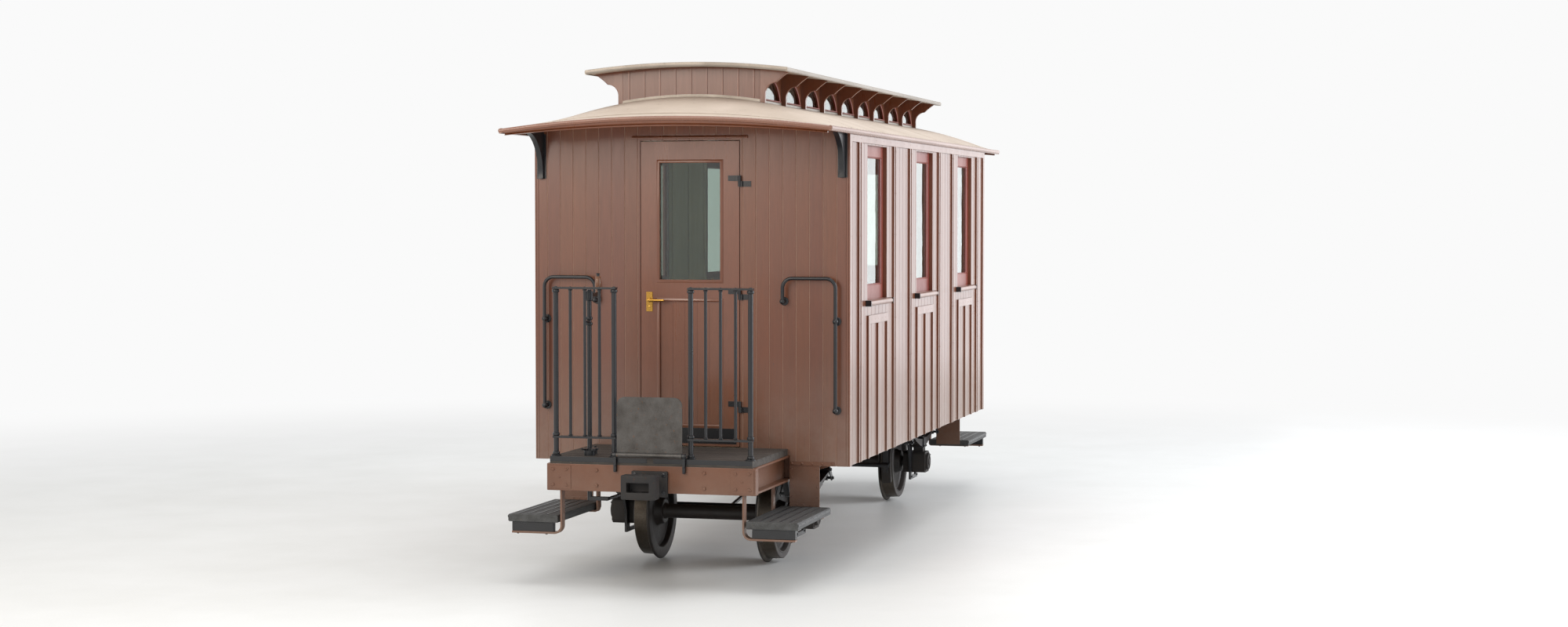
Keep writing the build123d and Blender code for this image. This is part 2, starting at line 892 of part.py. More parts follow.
def door_hinges():
    # The wall's halves: leaf, lower knuckle and the pin that carries the door.
    halves = []
    for z in hinge_levels:
        lower = (z - hinge_knuckle_length, z)
        leaf_y = (hinge_y + hinge_leaf_root, hinge_y + hinge_leaf_length)
        leaf = block((half_length, half_length + hinge_leaf_thickness), leaf_y, lower)
        arm = block((half_length + hinge_leaf_thickness - 1, hinge_x + 4), (hinge_y, hinge_y + 16), lower)
        knuckle = upright(hinge_x, hinge_y, (lower[0], lower[1]), hinge_knuckle_radius)
        pin = upright(hinge_x, hinge_y, (lower[0], z + hinge_knuckle_length - 2), hinge_pin_radius)
        halves.append(joined([leaf, arm, knuckle, pin]))
    return halves


front_door = [door_leaf()]
front_glass = [door_pane(glass_rebate)]
front_handle = [door_handle()]
front_hinges = door_hinges()
for node, pieces in (("door", front_door), ("door_glass", front_glass), ("door_handle", front_handle)):
    save(f"{node}_front", pieces)
    save(f"{node}_rear", [turned(piece) for piece in pieces])
save("door_hinges", front_hinges + [turned(hinge) for hinge in front_hinges])


# Main roof, with the opening for the clerestory, and the arched cornices at its ends
roof_half_length = half_length + roof_end_overhang
well_half = clerestory_half_width - clerestory_wall_thickness
well_length = clerestory_half_length - clerestory_wall_thickness
roof_half_width = half_width + roof_side_projection
roof_side = [roof_height(roof_half_width, radius) for radius in (roof_radius, roof_top_radius)]
roof_middle = [roof_height(0, radius) for radius in (roof_radius, roof_top_radius)]
end_top = roof_side[1] + roof_end_rise
end_middle = [end_top - roof_thickness, end_top]
body_section = arched_strip(roof_half_width, roof_side, roof_middle)
end_section = arched_strip(roof_half_width, roof_side, end_middle)
roof_end = loft(
    [
        Plane.YZ.offset(half_length) * body_section,
        Plane.YZ.offset(roof_half_length) * end_section,
    ],
    ruled=True,
)
main_roof = joined([along_x(body_section, -half_length, half_length)] + both_ends(roof_end))
main_roof -= block((-well_length, well_length), (-well_half, well_half), (eave, upper_edge))
save("main_roof", [main_roof])


def under_main_roof(blank):
    # What is left of a blank below the roof.
    return (blank - Pos(0, 0, -seat_gap) * main_roof).solids().sort_by(Axis.Z)[0]


cornice_side = (roof_side[0] - cornice_side_depth, roof_side[1] - roof_thickness / 2)
cornice_middle = (end_middle[0] - cornice_middle_depth, end_top - roof_thickness / 2)
cornice_face = arched_strip(half_width, cornice_side, cornice_middle)
cornice_x = roof_half_length - cornice_inset
cornice = under_main_roof(along_x(cornice_face, cornice_x - cornice_thickness, cornice_x))
save("roof_cornices", both_ends(cornice))


# Curved corbels that carry the roof's overhang at the corners
def roof_corbel():
    outer_y = half_width - corbel_inset
    top = roof_height(outer_y)
    start = (half_length, top - corbel_leg)
    tip = (half_length + corbel_reach, top + roof_thickness)
    belly = (half_length + corbel_root + corbel_reach * 0.16, top - corbel_leg * 0.36)
    nose = (tip[0], top - corbel_nose)
    root = (half_length + corbel_root, start[1])
    edge = Polyline(nose, tip, (half_length, tip[1]), start, root)
    curve = ThreePointArc(root, belly, nose)
    profile = make_face(edge.edges() + curve.edges())
    return under_main_roof(along_y(profile, outer_y - corbel_thickness, outer_y))


save("roof_corbels", all_corners(roof_corbel()))


# Clerestory: walls with half-round windows, ogee brackets and its own low arched roof
def under_upper_roof(drop):
    return Pos(0, upper_centre) * Circle(upper_radius - drop)


def lunette(shrink):
    # The half-round light, drawn as (x, z) with its sill at 0.
    radius = ((lunette_width / 2) ** 2 + lunette_height ** 2) / (2 * lunette_height)
    disc = Pos(0, lunette_height - radius) * Circle(radius - shrink)
    return disc & (Pos(0, shrink) * Rectangle(lunette_width * 2, lunette_height * 2, align=standing))


def clerestory_band(half):
    # The profile between the two roofs, inside a given half width.
    column = Pos(0, eave) * Rectangle(2 * half, upper_edge, align=standing)
    return (column & under_upper_roof(seat_gap)) - under_roof_arch(roof_top_radius + seat_gap)


bay_middles = [clerestory_bay_pitch * (i - (clerestory_bays - 1) / 2) for i in range(clerestory_bays)]
lunette_z = roof_height(clerestory_half_width, roof_top_radius) + lunette_sill
clerestory_section = clerestory_band(clerestory_half_width)
clerestory_walls = along_x(clerestory_section, -clerestory_half_length, clerestory_half_length)
clerestory_walls -= along_x(clerestory_band(well_half), -well_length, well_length)
for x in bay_middles:
    clerestory_walls -= along_y(Pos(x, lunette_z) * lunette(0), -clerestory_half_width, clerestory_half_width)
save("clerestory_walls", [clerestory_walls])

pane_y = clerestory_half_width - clerestory_wall_thickness / 2
clerestory_glass = []
for x in bay_middles:
    pane = along_y(Pos(x, lunette_z) * lunette(seat_gap), *span(pane_y, glass_thickness))
    clerestory_glass += both_sides(pane)
save("clerestory_glass", clerestory_glass)


def ogee_bracket():
    # Drawn as (y, z): a straight foot, then hollow and round curves out to the roof's edge.
    wall = clerestory_half_width
    base = roof_height(wall + bracket_foot, roof_top_radius)
    crown = upper_edge + upper_roof_rise
    knee = (wall + bracket_foot, base + bracket_foot_height)
    tip = (wall + bracket_reach, upper_edge)
    turn = ((knee[0] + tip[0]) / 2 - 6, (knee[1] + tip[1]) / 2 + 4)
    hollow = TangentArc(knee, turn, tangent=(0, 1))
    swell = ThreePointArc(turn, (turn[0] + 34, turn[1] + 30), tip)
    edge = Polyline(tip, (tip[0], crown), (wall, crown), (wall, eave), (knee[0], eave), knee)
    profile = make_face(edge.edges() + hollow.edges() + swell.edges())
    return (profile & under_upper_roof(seat_gap)) - under_roof_arch(roof_top_radius + seat_gap)


bracket_profile = ogee_bracket()
brackets = []
for i in range(clerestory_bays + 1):
    x = clerestory_bay_pitch * (i - clerestory_bays / 2)
    brackets += both_sides(along_x(bracket_profile, x - bracket_thickness / 2, x + bracket_thickness / 2))
save("clerestory_brackets", brackets)

upper_low = Pos(0, upper_edge) * Rectangle(2 * upper_roof_half_width, 4 * upper_roof_rise, align=standing)
upper_disc = Pos(0, upper_centre) * Circle(upper_radius + upper_roof_thickness)
upper_strip = (upper_disc - under_upper_roof(0)) & upper_low
upper_half_length = clerestory_half_length + upper_roof_end_overhang
save("clerestory_roof", [along_x(upper_strip, -upper_half_length, upper_half_length)])


# Bent grab rails beside the doors
def grab_rail():
    x = half_length + rail_stand_off
    upright_y = half_width - rail_corner_inset
    foot_y = upright_y - rail_reach
    low = wall_bottom + rail_bottom
    high = wall_bottom + rail_top
    foot_z = high - rail_foot_drop
    corners = [(x, upright_y, low), (x, upright_y, high), (x, foot_y, high), (x, foot_y, foot_z)]
    path = FilletPolyline(*corners, radius=rail_bend)
    bar = sweep(Plane(origin=path @ 0, z_dir=path % 0) * Circle(rail_rod_radius), path=path)
    bosses = []
    for y, z in ((upright_y, low), (upright_y, wall_bottom + rail_middle), (foot_y, foot_z)):
        bosses.append(rod((half_length, y, z), (x + rail_rod_radius + 3, y, z), rail_boss_radius))
    return joined([bar] + bosses)


save("grab_rails", all_corners(grab_rail()))


# Steps: boards outside the sole bars, riveted back plates, curved straps and end bearers
step_x = (half_length + seat_gap, platform_end - 10)
step_board = block(step_x, (sole_bar_web_y + step_inner_gap, step_outer_y), (step_bottom, step_top))
step_board = fillet(step_board.edges().filter_by(Axis.X).sort_by(Axis.Y)[-2:], 10)
save("step_boards", all_corners(step_board))

plate_y = (notch_half, step_plate_inner_y + step_plate_width)
plate_z = (wall_bottom - step_plate_drop, wall_bottom)
plate_x = (half_length - step_plate_thickness, half_length)
step_plate = block(plate_x, plate_y, plate_z)
flange_x = (half_length - step_plate_flange, half_length - step_plate_thickness)
step_plate += block(flange_x, plate_y, (wall_bottom - step_plate_thickness, wall_bottom))
save("step_plates", all_corners(step_plate))

bearer_x = step_x[1] - strap_width / 2 - 10
bearer_z = (step_bottom - bearer_height, step_bottom)
bearer_end = step_outer_y - 20
bearer_start = sole_bar_web_y + strap_outer_bend
bearer = block(span(bearer_x, bearer_width), (bearer_start, bearer_end), bearer_z)
save("step_bearers", all_corners(bearer))


def step_strap(x, top, foot_top, bend):
    # A flat bar down from the frame, bent outwards under the step.
    middle_y = sole_bar_web_y - strap_thickness / 2
    middle_z = foot_top - strap_thickness / 2
    path = FilletPolyline((x, middle_y, top), (x, middle_y, middle_z), (x, bearer_end, middle_z), radius=bend)
    section = Plane(origin=path @ 0, z_dir=path % 0, x_dir=(1, 0, 0)) * Rectangle(strap_width, strap_thickness)
    return sweep(section, path=path)


outer_strap = step_strap(bearer_x, sole_bar_bottom, bearer_z[0], strap_outer_bend)
inner_strap = step_strap(
    half_length + strap_inner_offset,
    floor_bottom - sole_bar_flange,
    step_bottom,
    strap_inner_bend,
)
save("step_straps", all_corners(outer_strap) + all_corners(inner_strap))


# Platform end railings, with a gap in the middle for the gangway
def platform_railing():
    x = platform_end - railing_inset
    top = floor_top + railing_height
    pieces = []
    for y in (railing_gate_half, railing_outer_y):
        pieces.append(upright(x, y, (floor_top, top), railing_post_radius))
        pieces.append(upright(x, y, (floor_top, floor_top + railing_foot_height), railing_foot_radius))
    rail_x = span(x, flat_rail_width)
    rail_y = (railing_gate_half - railing_post_radius, railing_outer_y + railing_post_radius)
    for height in (railing_height * railing_low_share, railing_height):
        low = floor_top + height - flat_rail_height
        pieces.append(block(rail_x, rail_y, (low, low + flat_rail_height)))
    for y in railing_bar_ys:
        bar_low = floor_top + railing_height * railing_low_share - 1
        pieces.append(upright(x, y, (bar_low, top - 1), railing_bar_radius))
    return joined(pieces)


front_railing = both_sides(platform_railing())
save("platform_railings", front_railing + [turned(panel) for panel in front_railing])


# Gangway plates, hinged in lugs on the headstocks and stored upright
gangway_x = platform_end + gangway_barrel_radius + 8
gangway_z = floor_top + gangway_hinge_height


def gangway_plate():
    plate_x = (gangway_x - gangway_barrel_radius, gangway_x - gangway_barrel_radius + gangway_thickness)
    plate = block(plate_x, (-gangway_half_width, gangway_half_width), (gangway_z, gangway_z + gangway_length))
    plate = fillet(plate.edges().filter_by(Axis.X).sort_by(Axis.Z)[-2:], gangway_corner_radius)
    reach = gangway_half_width + gangway_pin_stand_out
    barrel = across(gangway_x, gangway_z, (-gangway_half_width, gangway_half_width), gangway_barrel_radius)
    pin = across(gangway_x, gangway_z, (-reach, reach), gangway_pin_radius)
    return joined([plate, barrel, pin])


def gangway_lug():
    inner = gangway_half_width + 3
    lug_y = (inner, inner + lug_thickness)
    post = block((platform_end, gangway_x), lug_y, (floor_bottom - lug_reach, gangway_z + gangway_barrel_radius))
    cheek = across(gangway_x, gangway_z, lug_y, gangway_barrel_radius)
    bore_y = (inner - 1, inner + lug_thickness + 1)
    bore = across(gangway_x, gangway_z, bore_y, gangway_pin_radius + fit_clearance)
    return joined([post, cheek]) - bore


front_plate = gangway_plate()
save("gangway_plate_front", [front_plate])
save("gangway_plate_rear", [turned(front_plate)])
save("gangway_lugs", all_corners(gangway_lug()))


# Centre buffers with a slot and a vertical pin hole for the coupling link
def coupler():
    z = rail_z + coupler_above_rail
    shank_end = platform_end + coupler_shank_length
    face = shank_end + coupler_head_length
    half = coupler_shank / 2
    plate_y = (-coupler_plate_width / 2, coupler_plate_width / 2)
    plate_z = span(z, coupler_plate_height)
    plate = block((platform_end, platform_end + coupler_plate_thickness), plate_y, plate_z)
    shank_x = (platform_end, shank_end + coupler_plate_thickness / 2)
    shank = block(shank_x, (-half, half), (z - half, z + half))
    outward = (Align.MIN, Align.CENTER)
    flat = Pos(shank_end, 0) * Rectangle(coupler_head_length, coupler_head_width, align=outward)
    flat &= Pos(face - coupler_face_radius, 0) * Circle(coupler_face_radius)
    head = along_z(flat, z - coupler_head_height / 2, z + coupler_head_height / 2)
    slot_y = (-coupler_slot_width / 2, coupler_slot_width / 2)
    slot_z = span(z, coupler_slot_height)
    head -= block((face - coupler_slot_depth, face), slot_y, slot_z)
    pin = (face - coupler_pin_setback, 0)
    head -= rod((*pin, z - coupler_head_height), (*pin, z + coupler_head_height), coupler_pin_radius)
    return joined([plate, shank, head])


front_coupler = coupler()
save("couplers", [front_coupler, turned(front_coupler)])


# Hand brake on the front platform: column, crank and grip
def hand_brake():
    low = brake_pull_z - brake_pull_bar
    foot = (column_x, column_y, floor_top)
    column = upright(column_x, column_y, (low, column_top), brake_column_radius)
    collar = rod(foot, (column_x, column_y, floor_top + brake_collar_height), brake_collar_radius)
    arm_z = (column_top - crank_thickness, column_top)
    hub = upright(column_x, column_y, (arm_z[0] - crank_end, arm_z[1] + crank_end), brake_hub_radius)
    arm_y = span(column_y, crank_width)
    arm = block((column_x - crank_reach, column_x), arm_y, arm_z)
    spindle = upright(grip_x, column_y, (arm_z[0], arm_z[1] + crank_grip_length), crank_spindle_radius)
    stay_z = (floor_top + brake_stay_height, floor_top + brake_stay_height + brake_stay_thickness)
    stay_end = platform_end - railing_inset - railing_bar_radius - seat_gap
    stay_y = span(column_y, brake_stay_width)
    stay = block((column_x, stay_end), stay_y, stay_z)
    lever_x = (column_x - brake_column_radius, column_x + brake_column_radius)
    lever = block(lever_x, (column_y, brake_pull_y), (low, brake_pull_z))
    return joined([column, collar, hub, arm, spindle, stay, lever])


def crank_grip():
    # A turned wooden sleeve that turns on the crank's spindle.
    low = column_top + seat_gap
    high = column_top + crank_grip_length - crank_end
    sleeve = upright(grip_x, column_y, (low, high), crank_grip_radius)
    return sleeve - upright(grip_x, column_y, (low, high), crank_spindle_radius + fit_clearance)


save("hand_brake", [hand_brake()])
save("brake_grip", [crank_grip()])


# Brake rigging: blocks on hangers, beams across and pull rods to a shaft in the middle
def brake_block():
    # A cast block that follows the tread, on the middle side of the wheel.
    inner = tread_radius + brake_gap
    outer = inner + brake_block_thickness
    half_angle = math.radians(brake_block_half_angle)
    reach = outer * 1.4
    wedge = outline(
        (0, 0),
        (-reach * math.cos(half_angle), reach * math.sin(half_angle)),
        (-reach * math.cos(half_angle), -reach * math.sin(half_angle)),
    )
    ring = (Circle(outer) - Circle(inner)) & wedge
    width_start = wheel_inner + flange_width + brake_gap
    return along_y(Pos(axle_x, axle_z) * ring, width_start, width_start + brake_block_width)


def brake_hanger():
    y_range = span(hanger_y, brake_hanger_width)
    x_back = block_back - brake_hanger_thickness
    return block((x_back, block_back), y_range, (axle_z - brake_hanger_below_axle, member_bottom))


def brake_beam():
    x = block_back - brake_hanger_thickness - brake_beam_radius
    reach = hanger_y + brake_hanger_width / 2 + 12
    return across(x, axle_z, (-reach, reach), brake_beam_radius)


save("brake_blocks", all_corners(brake_block()))
save("brake_hangers", all_corners(brake_hanger()))


def brake_rigging():
    # Beams between the blocks, and a shaft under the middle cross member with its levers and rods.
    shaft_z = axle_z + brake_shaft_rise
    shaft_start = (0, brake_pull_y - brake_shaft_end, shaft_z)
    pieces = both_ends(brake_beam())
    pieces.append(rod(shaft_start, (0, brake_shaft_half + brake_shaft_end, shaft_z), brake_shaft_radius))
    drop_x = (-brake_drop_width / 2, brake_drop_width / 2)
    for y in (-brake_shaft_half, brake_shaft_half):
        drop_y = span(y, brake_drop_thickness)
        pieces.append(block(drop_x, drop_y, (shaft_z, member_bottom)))
    pull_z = brake_pull_z - brake_pull_bar / 2
    pull_y = span(brake_pull_y, brake_drop_thickness)
    pieces.append(block((-brake_shaft_radius, brake_shaft_radius), pull_y, (shaft_z, brake_pull_z)))
    pull_end = (column_x - brake_column_radius, brake_pull_y, pull_z)
    pieces.append(rod((0, brake_pull_y, pull_z), pull_end, brake_pull_radius))
    lever = SlotOverall(brake_lever_length + brake_lever_width, brake_lever_width)
    lever = Pos(0, shaft_z) * Rot(0, 0, brake_lever_tilt) * lever
    pieces.append(along_y(lever, -brake_lever_thickness / 2, brake_lever_thickness / 2))
    tilt = math.radians(brake_lever_tilt)
    beam_x = block_back - brake_hanger_thickness - brake_beam_radius * 2
    for way in (1, -1):
        arm = way * brake_lever_length / 2
        pin = (arm * math.cos(tilt), 0, shaft_z + arm * math.sin(tilt))
        pieces.append(rod(pin, (way * beam_x, 0, axle_z), brake_rod_radius))
    return joined(pieces)


save("brake_rigging", [brake_rigging()])


# Benches: slatted seats face each other in every window bay
bench_outer_y = inner_y - bench_wall_gap
bench_low = floor_top + bench_seat_height - bench_slat_thickness
end_back = inner_x - bench_back_thickness / 2 - seat_gap
bench_rows = [(end_back, (-1,)), (-end_back, (1,))]
for i in range(1, window_count):
    bench_rows.append(((window_places[i - 1] + window_places[i]) / 2, (1, -1)))
seats = [(place + way * bench_back_thickness / 2, way) for place, ways in bench_rows for way in ways]


def bench_slats(back, way):
    # Slats run across the coach in front of the back board.
    pitch = bench_slat_width + bench_slat_gap
    slats = []
    for i in range(int(bench_seat_depth / pitch)):
        near = back + way * (bench_slat_gap + i * pitch)
        far = near + way * bench_slat_width
        slat_z = (bench_low, bench_low + bench_slat_thickness)
        slats.append(block((near, far), (bench_inner_y, bench_outer_y), slat_z))
    return slats


def bench_legs(back, way):
    # Two brackets carry the slats: a rail from the back board and a leg near its front.
    front = back + way * bench_seat_depth
    brackets = []
    for y in (bench_inner_y + 20, bench_outer_y - 20 - bench_leg_thickness):
        y_range = (y, y + bench_leg_thickness)
        rail = block((back, front), y_range, (bench_low - bench_rail_height, bench_low))
        toe = front - way * bench_leg_setback
        leg = block((toe - way * bench_leg_depth, toe), y_range, (floor_top, bench_low))
        brackets.append(joined([rail, leg]))
    return brackets


def bench_back(place):
    x_range = span(place, bench_back_thickness)
    return block(x_range, (bench_inner_y, bench_outer_y), (floor_top, floor_top + bench_back_height))


save("bench_slats", [copy for seat in seats for slat in bench_slats(*seat) for copy in both_sides(slat)])
save("bench_legs", [copy for seat in seats for leg in bench_legs(*seat) for copy in both_sides(leg)])
save("bench_backs", [copy for place, ways in bench_rows for copy in both_sides(bench_back(place))])
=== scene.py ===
# Looks of a narrow-gauge passenger coach with open platforms and a clerestory roof.
# Lengths are in metres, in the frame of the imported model: +X to the front platform, +Y to the left side.
import bmesh
import bpy
import math
from itertools import product
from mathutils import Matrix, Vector


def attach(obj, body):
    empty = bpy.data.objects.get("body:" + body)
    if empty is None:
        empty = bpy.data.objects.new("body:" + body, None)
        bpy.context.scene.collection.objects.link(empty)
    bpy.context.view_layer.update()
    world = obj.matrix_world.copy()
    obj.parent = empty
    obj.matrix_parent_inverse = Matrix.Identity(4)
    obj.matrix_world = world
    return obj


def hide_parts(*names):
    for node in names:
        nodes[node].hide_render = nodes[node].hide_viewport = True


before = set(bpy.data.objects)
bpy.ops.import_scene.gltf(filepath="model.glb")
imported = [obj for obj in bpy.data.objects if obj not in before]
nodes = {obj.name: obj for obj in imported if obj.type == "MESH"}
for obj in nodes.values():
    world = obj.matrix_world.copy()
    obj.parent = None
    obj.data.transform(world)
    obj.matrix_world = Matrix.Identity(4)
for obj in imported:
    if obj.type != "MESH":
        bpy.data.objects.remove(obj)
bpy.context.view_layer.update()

toFront = (1, 0, 0)
toSide = (0, 1, 0)
upward = (0, 0, 1)
downward = (0, 0, -1)
bothWays = (-1, 1)


# Helpers for nodes, colours and modifiers
def addNode(tree, kind, settings=None, links=None, out=0):
    # Returns the output that is asked for.
    node = tree.nodes.new(kind)
    for key, value in (settings or {}).items():
        if isinstance(key, str) and hasattr(node, key):
            setattr(node, key, value)
        else:
            node.inputs[key].default_value = value
    for key, source in (links or {}).items():
        tree.links.new(source, node.inputs[key])
    return node.outputs[out] if node.outputs else None


def linear(hexColour):
    parts = [int(hexColour[i:i + 2], 16) / 255 for i in (1, 3, 5)]
    return tuple(c / 12.92 if c <= 0.04045 else ((c + 0.055) / 1.055) ** 2.4 for c in parts) + (1,)


def geometryTree(name):
    tree = bpy.data.node_groups.new(name, "GeometryNodeTree")
    for way in ("INPUT", "OUTPUT"):
        tree.interface.new_socket("Geometry", in_out=way, socket_type="NodeSocketGeometry")
    return tree, addNode(tree, "NodeGroupInput")


rounding = {
    "seam": 0.000002,  # points nearer than this are one point
    "flat": 0.5,  # degrees: faces that differ by less are joined before the rounding
    "angle": 40,  # degrees: edges sharper than this are rounded
    "smooth": 33,  # degrees: edges flatter than this are shaded smooth
    "segments": 2,
}

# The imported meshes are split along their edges, so they are joined up again before a bevel.
weldTree, source = geometryTree("weldSeams")
bare = addNode(weldTree, "GeometryNodeRemoveAttribute", {"Name": "custom_normal"}, {"Geometry": source})
distance = {"Distance": rounding["seam"]}
welded = addNode(weldTree, "GeometryNodeMergeByDistance", distance, {"Geometry": bare})
addNode(weldTree, "NodeGroupOutput", {}, {0: welded})

smoothTree, source = geometryTree("smoothByAngle")
angle = addNode(smoothTree, "GeometryNodeInputMeshEdgeAngle")
limit = {"operation": "LESS_THAN", 1: math.radians(rounding["smooth"])}
soft = addNode(smoothTree, "FunctionNodeCompare", limit, {0: angle})
faces = addNode(smoothTree, "GeometryNodeSetShadeSmooth", {"domain": "FACE"}, {"Geometry": source})
flow = {"Geometry": faces, "Shade Smooth": soft}
edges = addNode(smoothTree, "GeometryNodeSetShadeSmooth", {"domain": "EDGE"}, flow)
addNode(smoothTree, "NodeGroupOutput", {}, {0: edges})


def modify(piece, bevel=0.0, flat=False):
    piece.modifiers.new("weld", "NODES").node_group = weldTree
    if flat:
        dissolve = piece.modifiers.new("dissolve", "DECIMATE")
        dissolve.decimate_type = "DISSOLVE"
        dissolve.angle_limit = math.radians(rounding["flat"])
    if bevel:
        arris = piece.modifiers.new("rounding", "BEVEL")
        arris.width = bevel
        arris.segments = rounding["segments"]
        arris.limit_method = "ANGLE"
        arris.angle_limit = math.radians(rounding["angle"])
        arris.use_clamp_overlap = True
    piece.modifiers.new("smooth", "NODES").node_group = smoothTree
    if bevel:
        piece.modifiers.new("evenShade", "WEIGHTED_NORMAL").keep_sharp = True


# Helpers for places: evenly spaced values, a grid, an arc, and a ring round a centre
def spaced(first, last, count):
    return [first + (last - first) * i / (count - 1) for i in range(count)]


def arc(centre, radius, start, end, count):
    turns = [math.radians(start + (end - start) * i / count) for i in range(count + 1)]
    return [(centre[0] + radius * math.cos(t), centre[1] + radius * math.sin(t)) for t in turns]


def ringOf(centre, across, other, radius, sides, start=0):
    turns = [2 * math.pi * (i + start) / sides for i in range(sides)]
    return [centre + (across * math.cos(t) + other * math.sin(t)) * radius for t in turns]


def grid(xs, ys, zs):
    # Every place with one of each: a single number stands for itself.
    return product(*[span if isinstance(span, (tuple, list)) else (span,) for span in (xs, ys, zs)])


def shifted(profile, start):
    return [(start + along, radius) for along, radius in profile]


point = 0.00001  # radius that stands for a point
touching = 0.000001  # points nearer than this are one
fastener = {
    "sunk": -0.001,  # how deep a head starts below the face, so that no gap shows
    "dome": (0, 0.45, 0.9, 1.3),  # angles of a rivet's rings
    # Shares of a bolt's size: (height, radius)
    "washer": [(0.18, 1.25), (0.22, 1.18)],
    "head": [(0, 1), (0.75, 1), (0.9, 0.82)],
    "washerSides": 20,
}


# Meshes: points and faces of one piece, with a material mark for each face
class Shape:
    def __init__(self):
        self.points = []
        self.faces = []
        self.marks = []

    def add(self, points, faces, mark=0):
        first = len(self.points)
        self.points += [Vector(p) for p in points]
        self.faces += [[first + i for i in face] for face in faces]
        self.marks += [mark] * len(faces)
        return self

    def join(self, other):
        return self.add(other.points, other.faces)

    def loft(self, rows, mark=0, caps=True, closed=False):
        # Each row is a ring of points. Closed joins the last row to the first.
        count = len(rows[0])
        last = (len(rows) - 1) * count
        faces = [list(range(count))[::-1], [last + j for j in range(count)]] if caps else []
        for i in range(len(rows) if closed else len(rows) - 1):
            here = i * count
            there = (i + 1) % len(rows) * count
            for j in range(count):
                step = (j + 1) % count
                faces.append((here + j, here + step, there + step, there + j))
        return self.add([point for row in rows for point in row], faces, mark)

    def block(self, x, y, z):
        sides = [(0, 1, 3, 2), (4, 6, 7, 5), (0, 4, 5, 1), (2, 3, 7, 6), (0, 2, 6, 4), (1, 5, 7, 3)]
        return self.add(product(x, y, z), sides)

    def prism(self, line, axis, low, high):
        # The line is drawn across the axis as (y, z), (x, z) or (x, y).
        order = {"x": (2, 0, 1), "y": (0, 2, 1), "z": (0, 1, 2)}[axis]
        rows = []
        for level in (low, high):
            rows.append([[(u, v, level)[k] for k in order] for u, v in line])
        return self.loft(rows)

    def across(self, section, half, steps=64):
        # Sweeps a section across the coach: section gives the (x, z) points at each y.
        rows = []
        for y in spaced(-half, half, steps + 1):
            rows.append([(x, y, z) for x, z in section(y)])
        return self.loft(rows)

    def turned(self, profile, origin, axis, sides=32, mark=0, caps=True):
        # The profile is (distance along the axis, radius).
        axis = Vector(axis).normalized()
        across = axis.orthogonal().normalized()
        other = axis.cross(across)
        rows = []
        for along, radius in profile:
            rows.append(ringOf(Vector(origin) + axis * along, across, other, max(radius, point), sides))
        return self.loft(rows, mark, caps and profile[0] != profile[-1])

    def tube(self, path, radius, sides):
        path = [Vector(p) for p in path]
        across = (path[1] - path[0]).orthogonal().normalized()
        rows = []
        for i, centre in enumerate(path):
            ahead = (path[min(i + 1, len(path) - 1)] - path[max(i - 1, 0)]).normalized()
            across = (across - ahead * across.dot(ahead)).normalized()
            rows.append(ringOf(centre, across, ahead.cross(across), radius, sides))
        return self.loft(rows)

    def rivets(self, spots, normal, radius, height=0.6, sides=12):
        # Domed heads, as high as that share of their radius.
        steps = [(math.sin(t), math.cos(t)) for t in fastener["dome"]]
        profile = [(radius * height * rise, radius * out) for rise, out in steps]
        profile.insert(0, (fastener["sunk"], radius))
        for spot in spots:
            self.turned(profile, spot, normal, sides)
        return self

    def bolts(self, spots, normal, size, washer=True):
        # Hexagon heads with a chamfered face, on round washers.
        head = [(size * high, size * out) for high, out in fastener["head"]]
        ring = [(size * high, size * out) for high, out in fastener["washer"]]
        ring.insert(0, (fastener["sunk"], ring[0][1]))
        for spot in spots:
            if washer:
                self.turned(ring, spot, normal, fastener["washerSides"])
            self.turned(head, spot, normal, 6)
        return self

    def circle(self, centre, normal, radius, count, size, washer=True):
        # Bolts round a flange that looks to the side or up.
        other = Vector(upward if normal == toSide else toSide)
        spots = ringOf(Vector(centre), Vector(toFront), other, radius, count, 0.5)
        return self.bolts(spots, normal, size, washer)

    def build(self, parts):
        # Adds the blocks, prisms, turned pieces, rivets and bolts that a piece's dictionary lists.
        for spans in parts.get("blocks", []):
            self.block(*spans)
        for prism in parts.get("prisms", []):
            self.prism(*prism)
        for profile, xs, ys, zs, *settings in parts.get("rounds", []):
            for spot in grid(xs, ys, zs):
                self.turned(profile, spot, *settings)
        for xs, ys, zs, *settings in parts.get("rivets", []):
            self.rivets(grid(xs, ys, zs), *settings)
        for xs, ys, zs, *settings in parts.get("bolts", []):
            self.bolts(grid(xs, ys, zs), *settings)
        return self

    def spread(self, kind):
        # Copies the shape to both ends (turned half round), both sides, or all four corners.
        signs = {"ends": [(-1, -1)], "sides": [(1, -1)], "corners": [(1, -1), (-1, 1), (-1, -1)]}[kind]
        points = list(self.points)
        faces = list(self.faces)
        marks = list(self.marks)
        for x, y in signs:
            first = len(self.points)
            self.points += [Vector((p.x * x, p.y * y, p.z)) for p in points]
            turned = [face if x * y > 0 else face[::-1] for face in faces]
            self.faces += [[first + i for i in face] for face in turned]
            self.marks += marks
        return self

    def place(self, name, *materials, copies="", body="coach", bevel=0.0, smooth=33, instead=()):
        if copies:
            self.spread(copies)
        mesh = bpy.data.meshes.new(name)
        mesh.from_pydata([tuple(p) for p in self.points], [], self.faces)
        for material in materials:
            mesh.materials.append(material)
        mesh.polygons.foreach_set("material_index", self.marks)
        draft = bmesh.new()
        draft.from_mesh(mesh)
        bmesh.ops.remove_doubles(draft, verts=draft.verts, dist=touching)
        bmesh.ops.recalc_face_normals(draft, faces=draft.faces)
        draft.to_mesh(mesh)
        draft.free()
        mesh.shade_smooth()
        mesh.set_sharp_from_angle(angle=math.radians(smooth))
        piece = bpy.data.objects.new(name, mesh)
        bpy.context.scene.collection.objects.link(piece)
        if bevel:
            modify(piece, bevel)
        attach(piece, body)
        if instead:
            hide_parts(*instead)

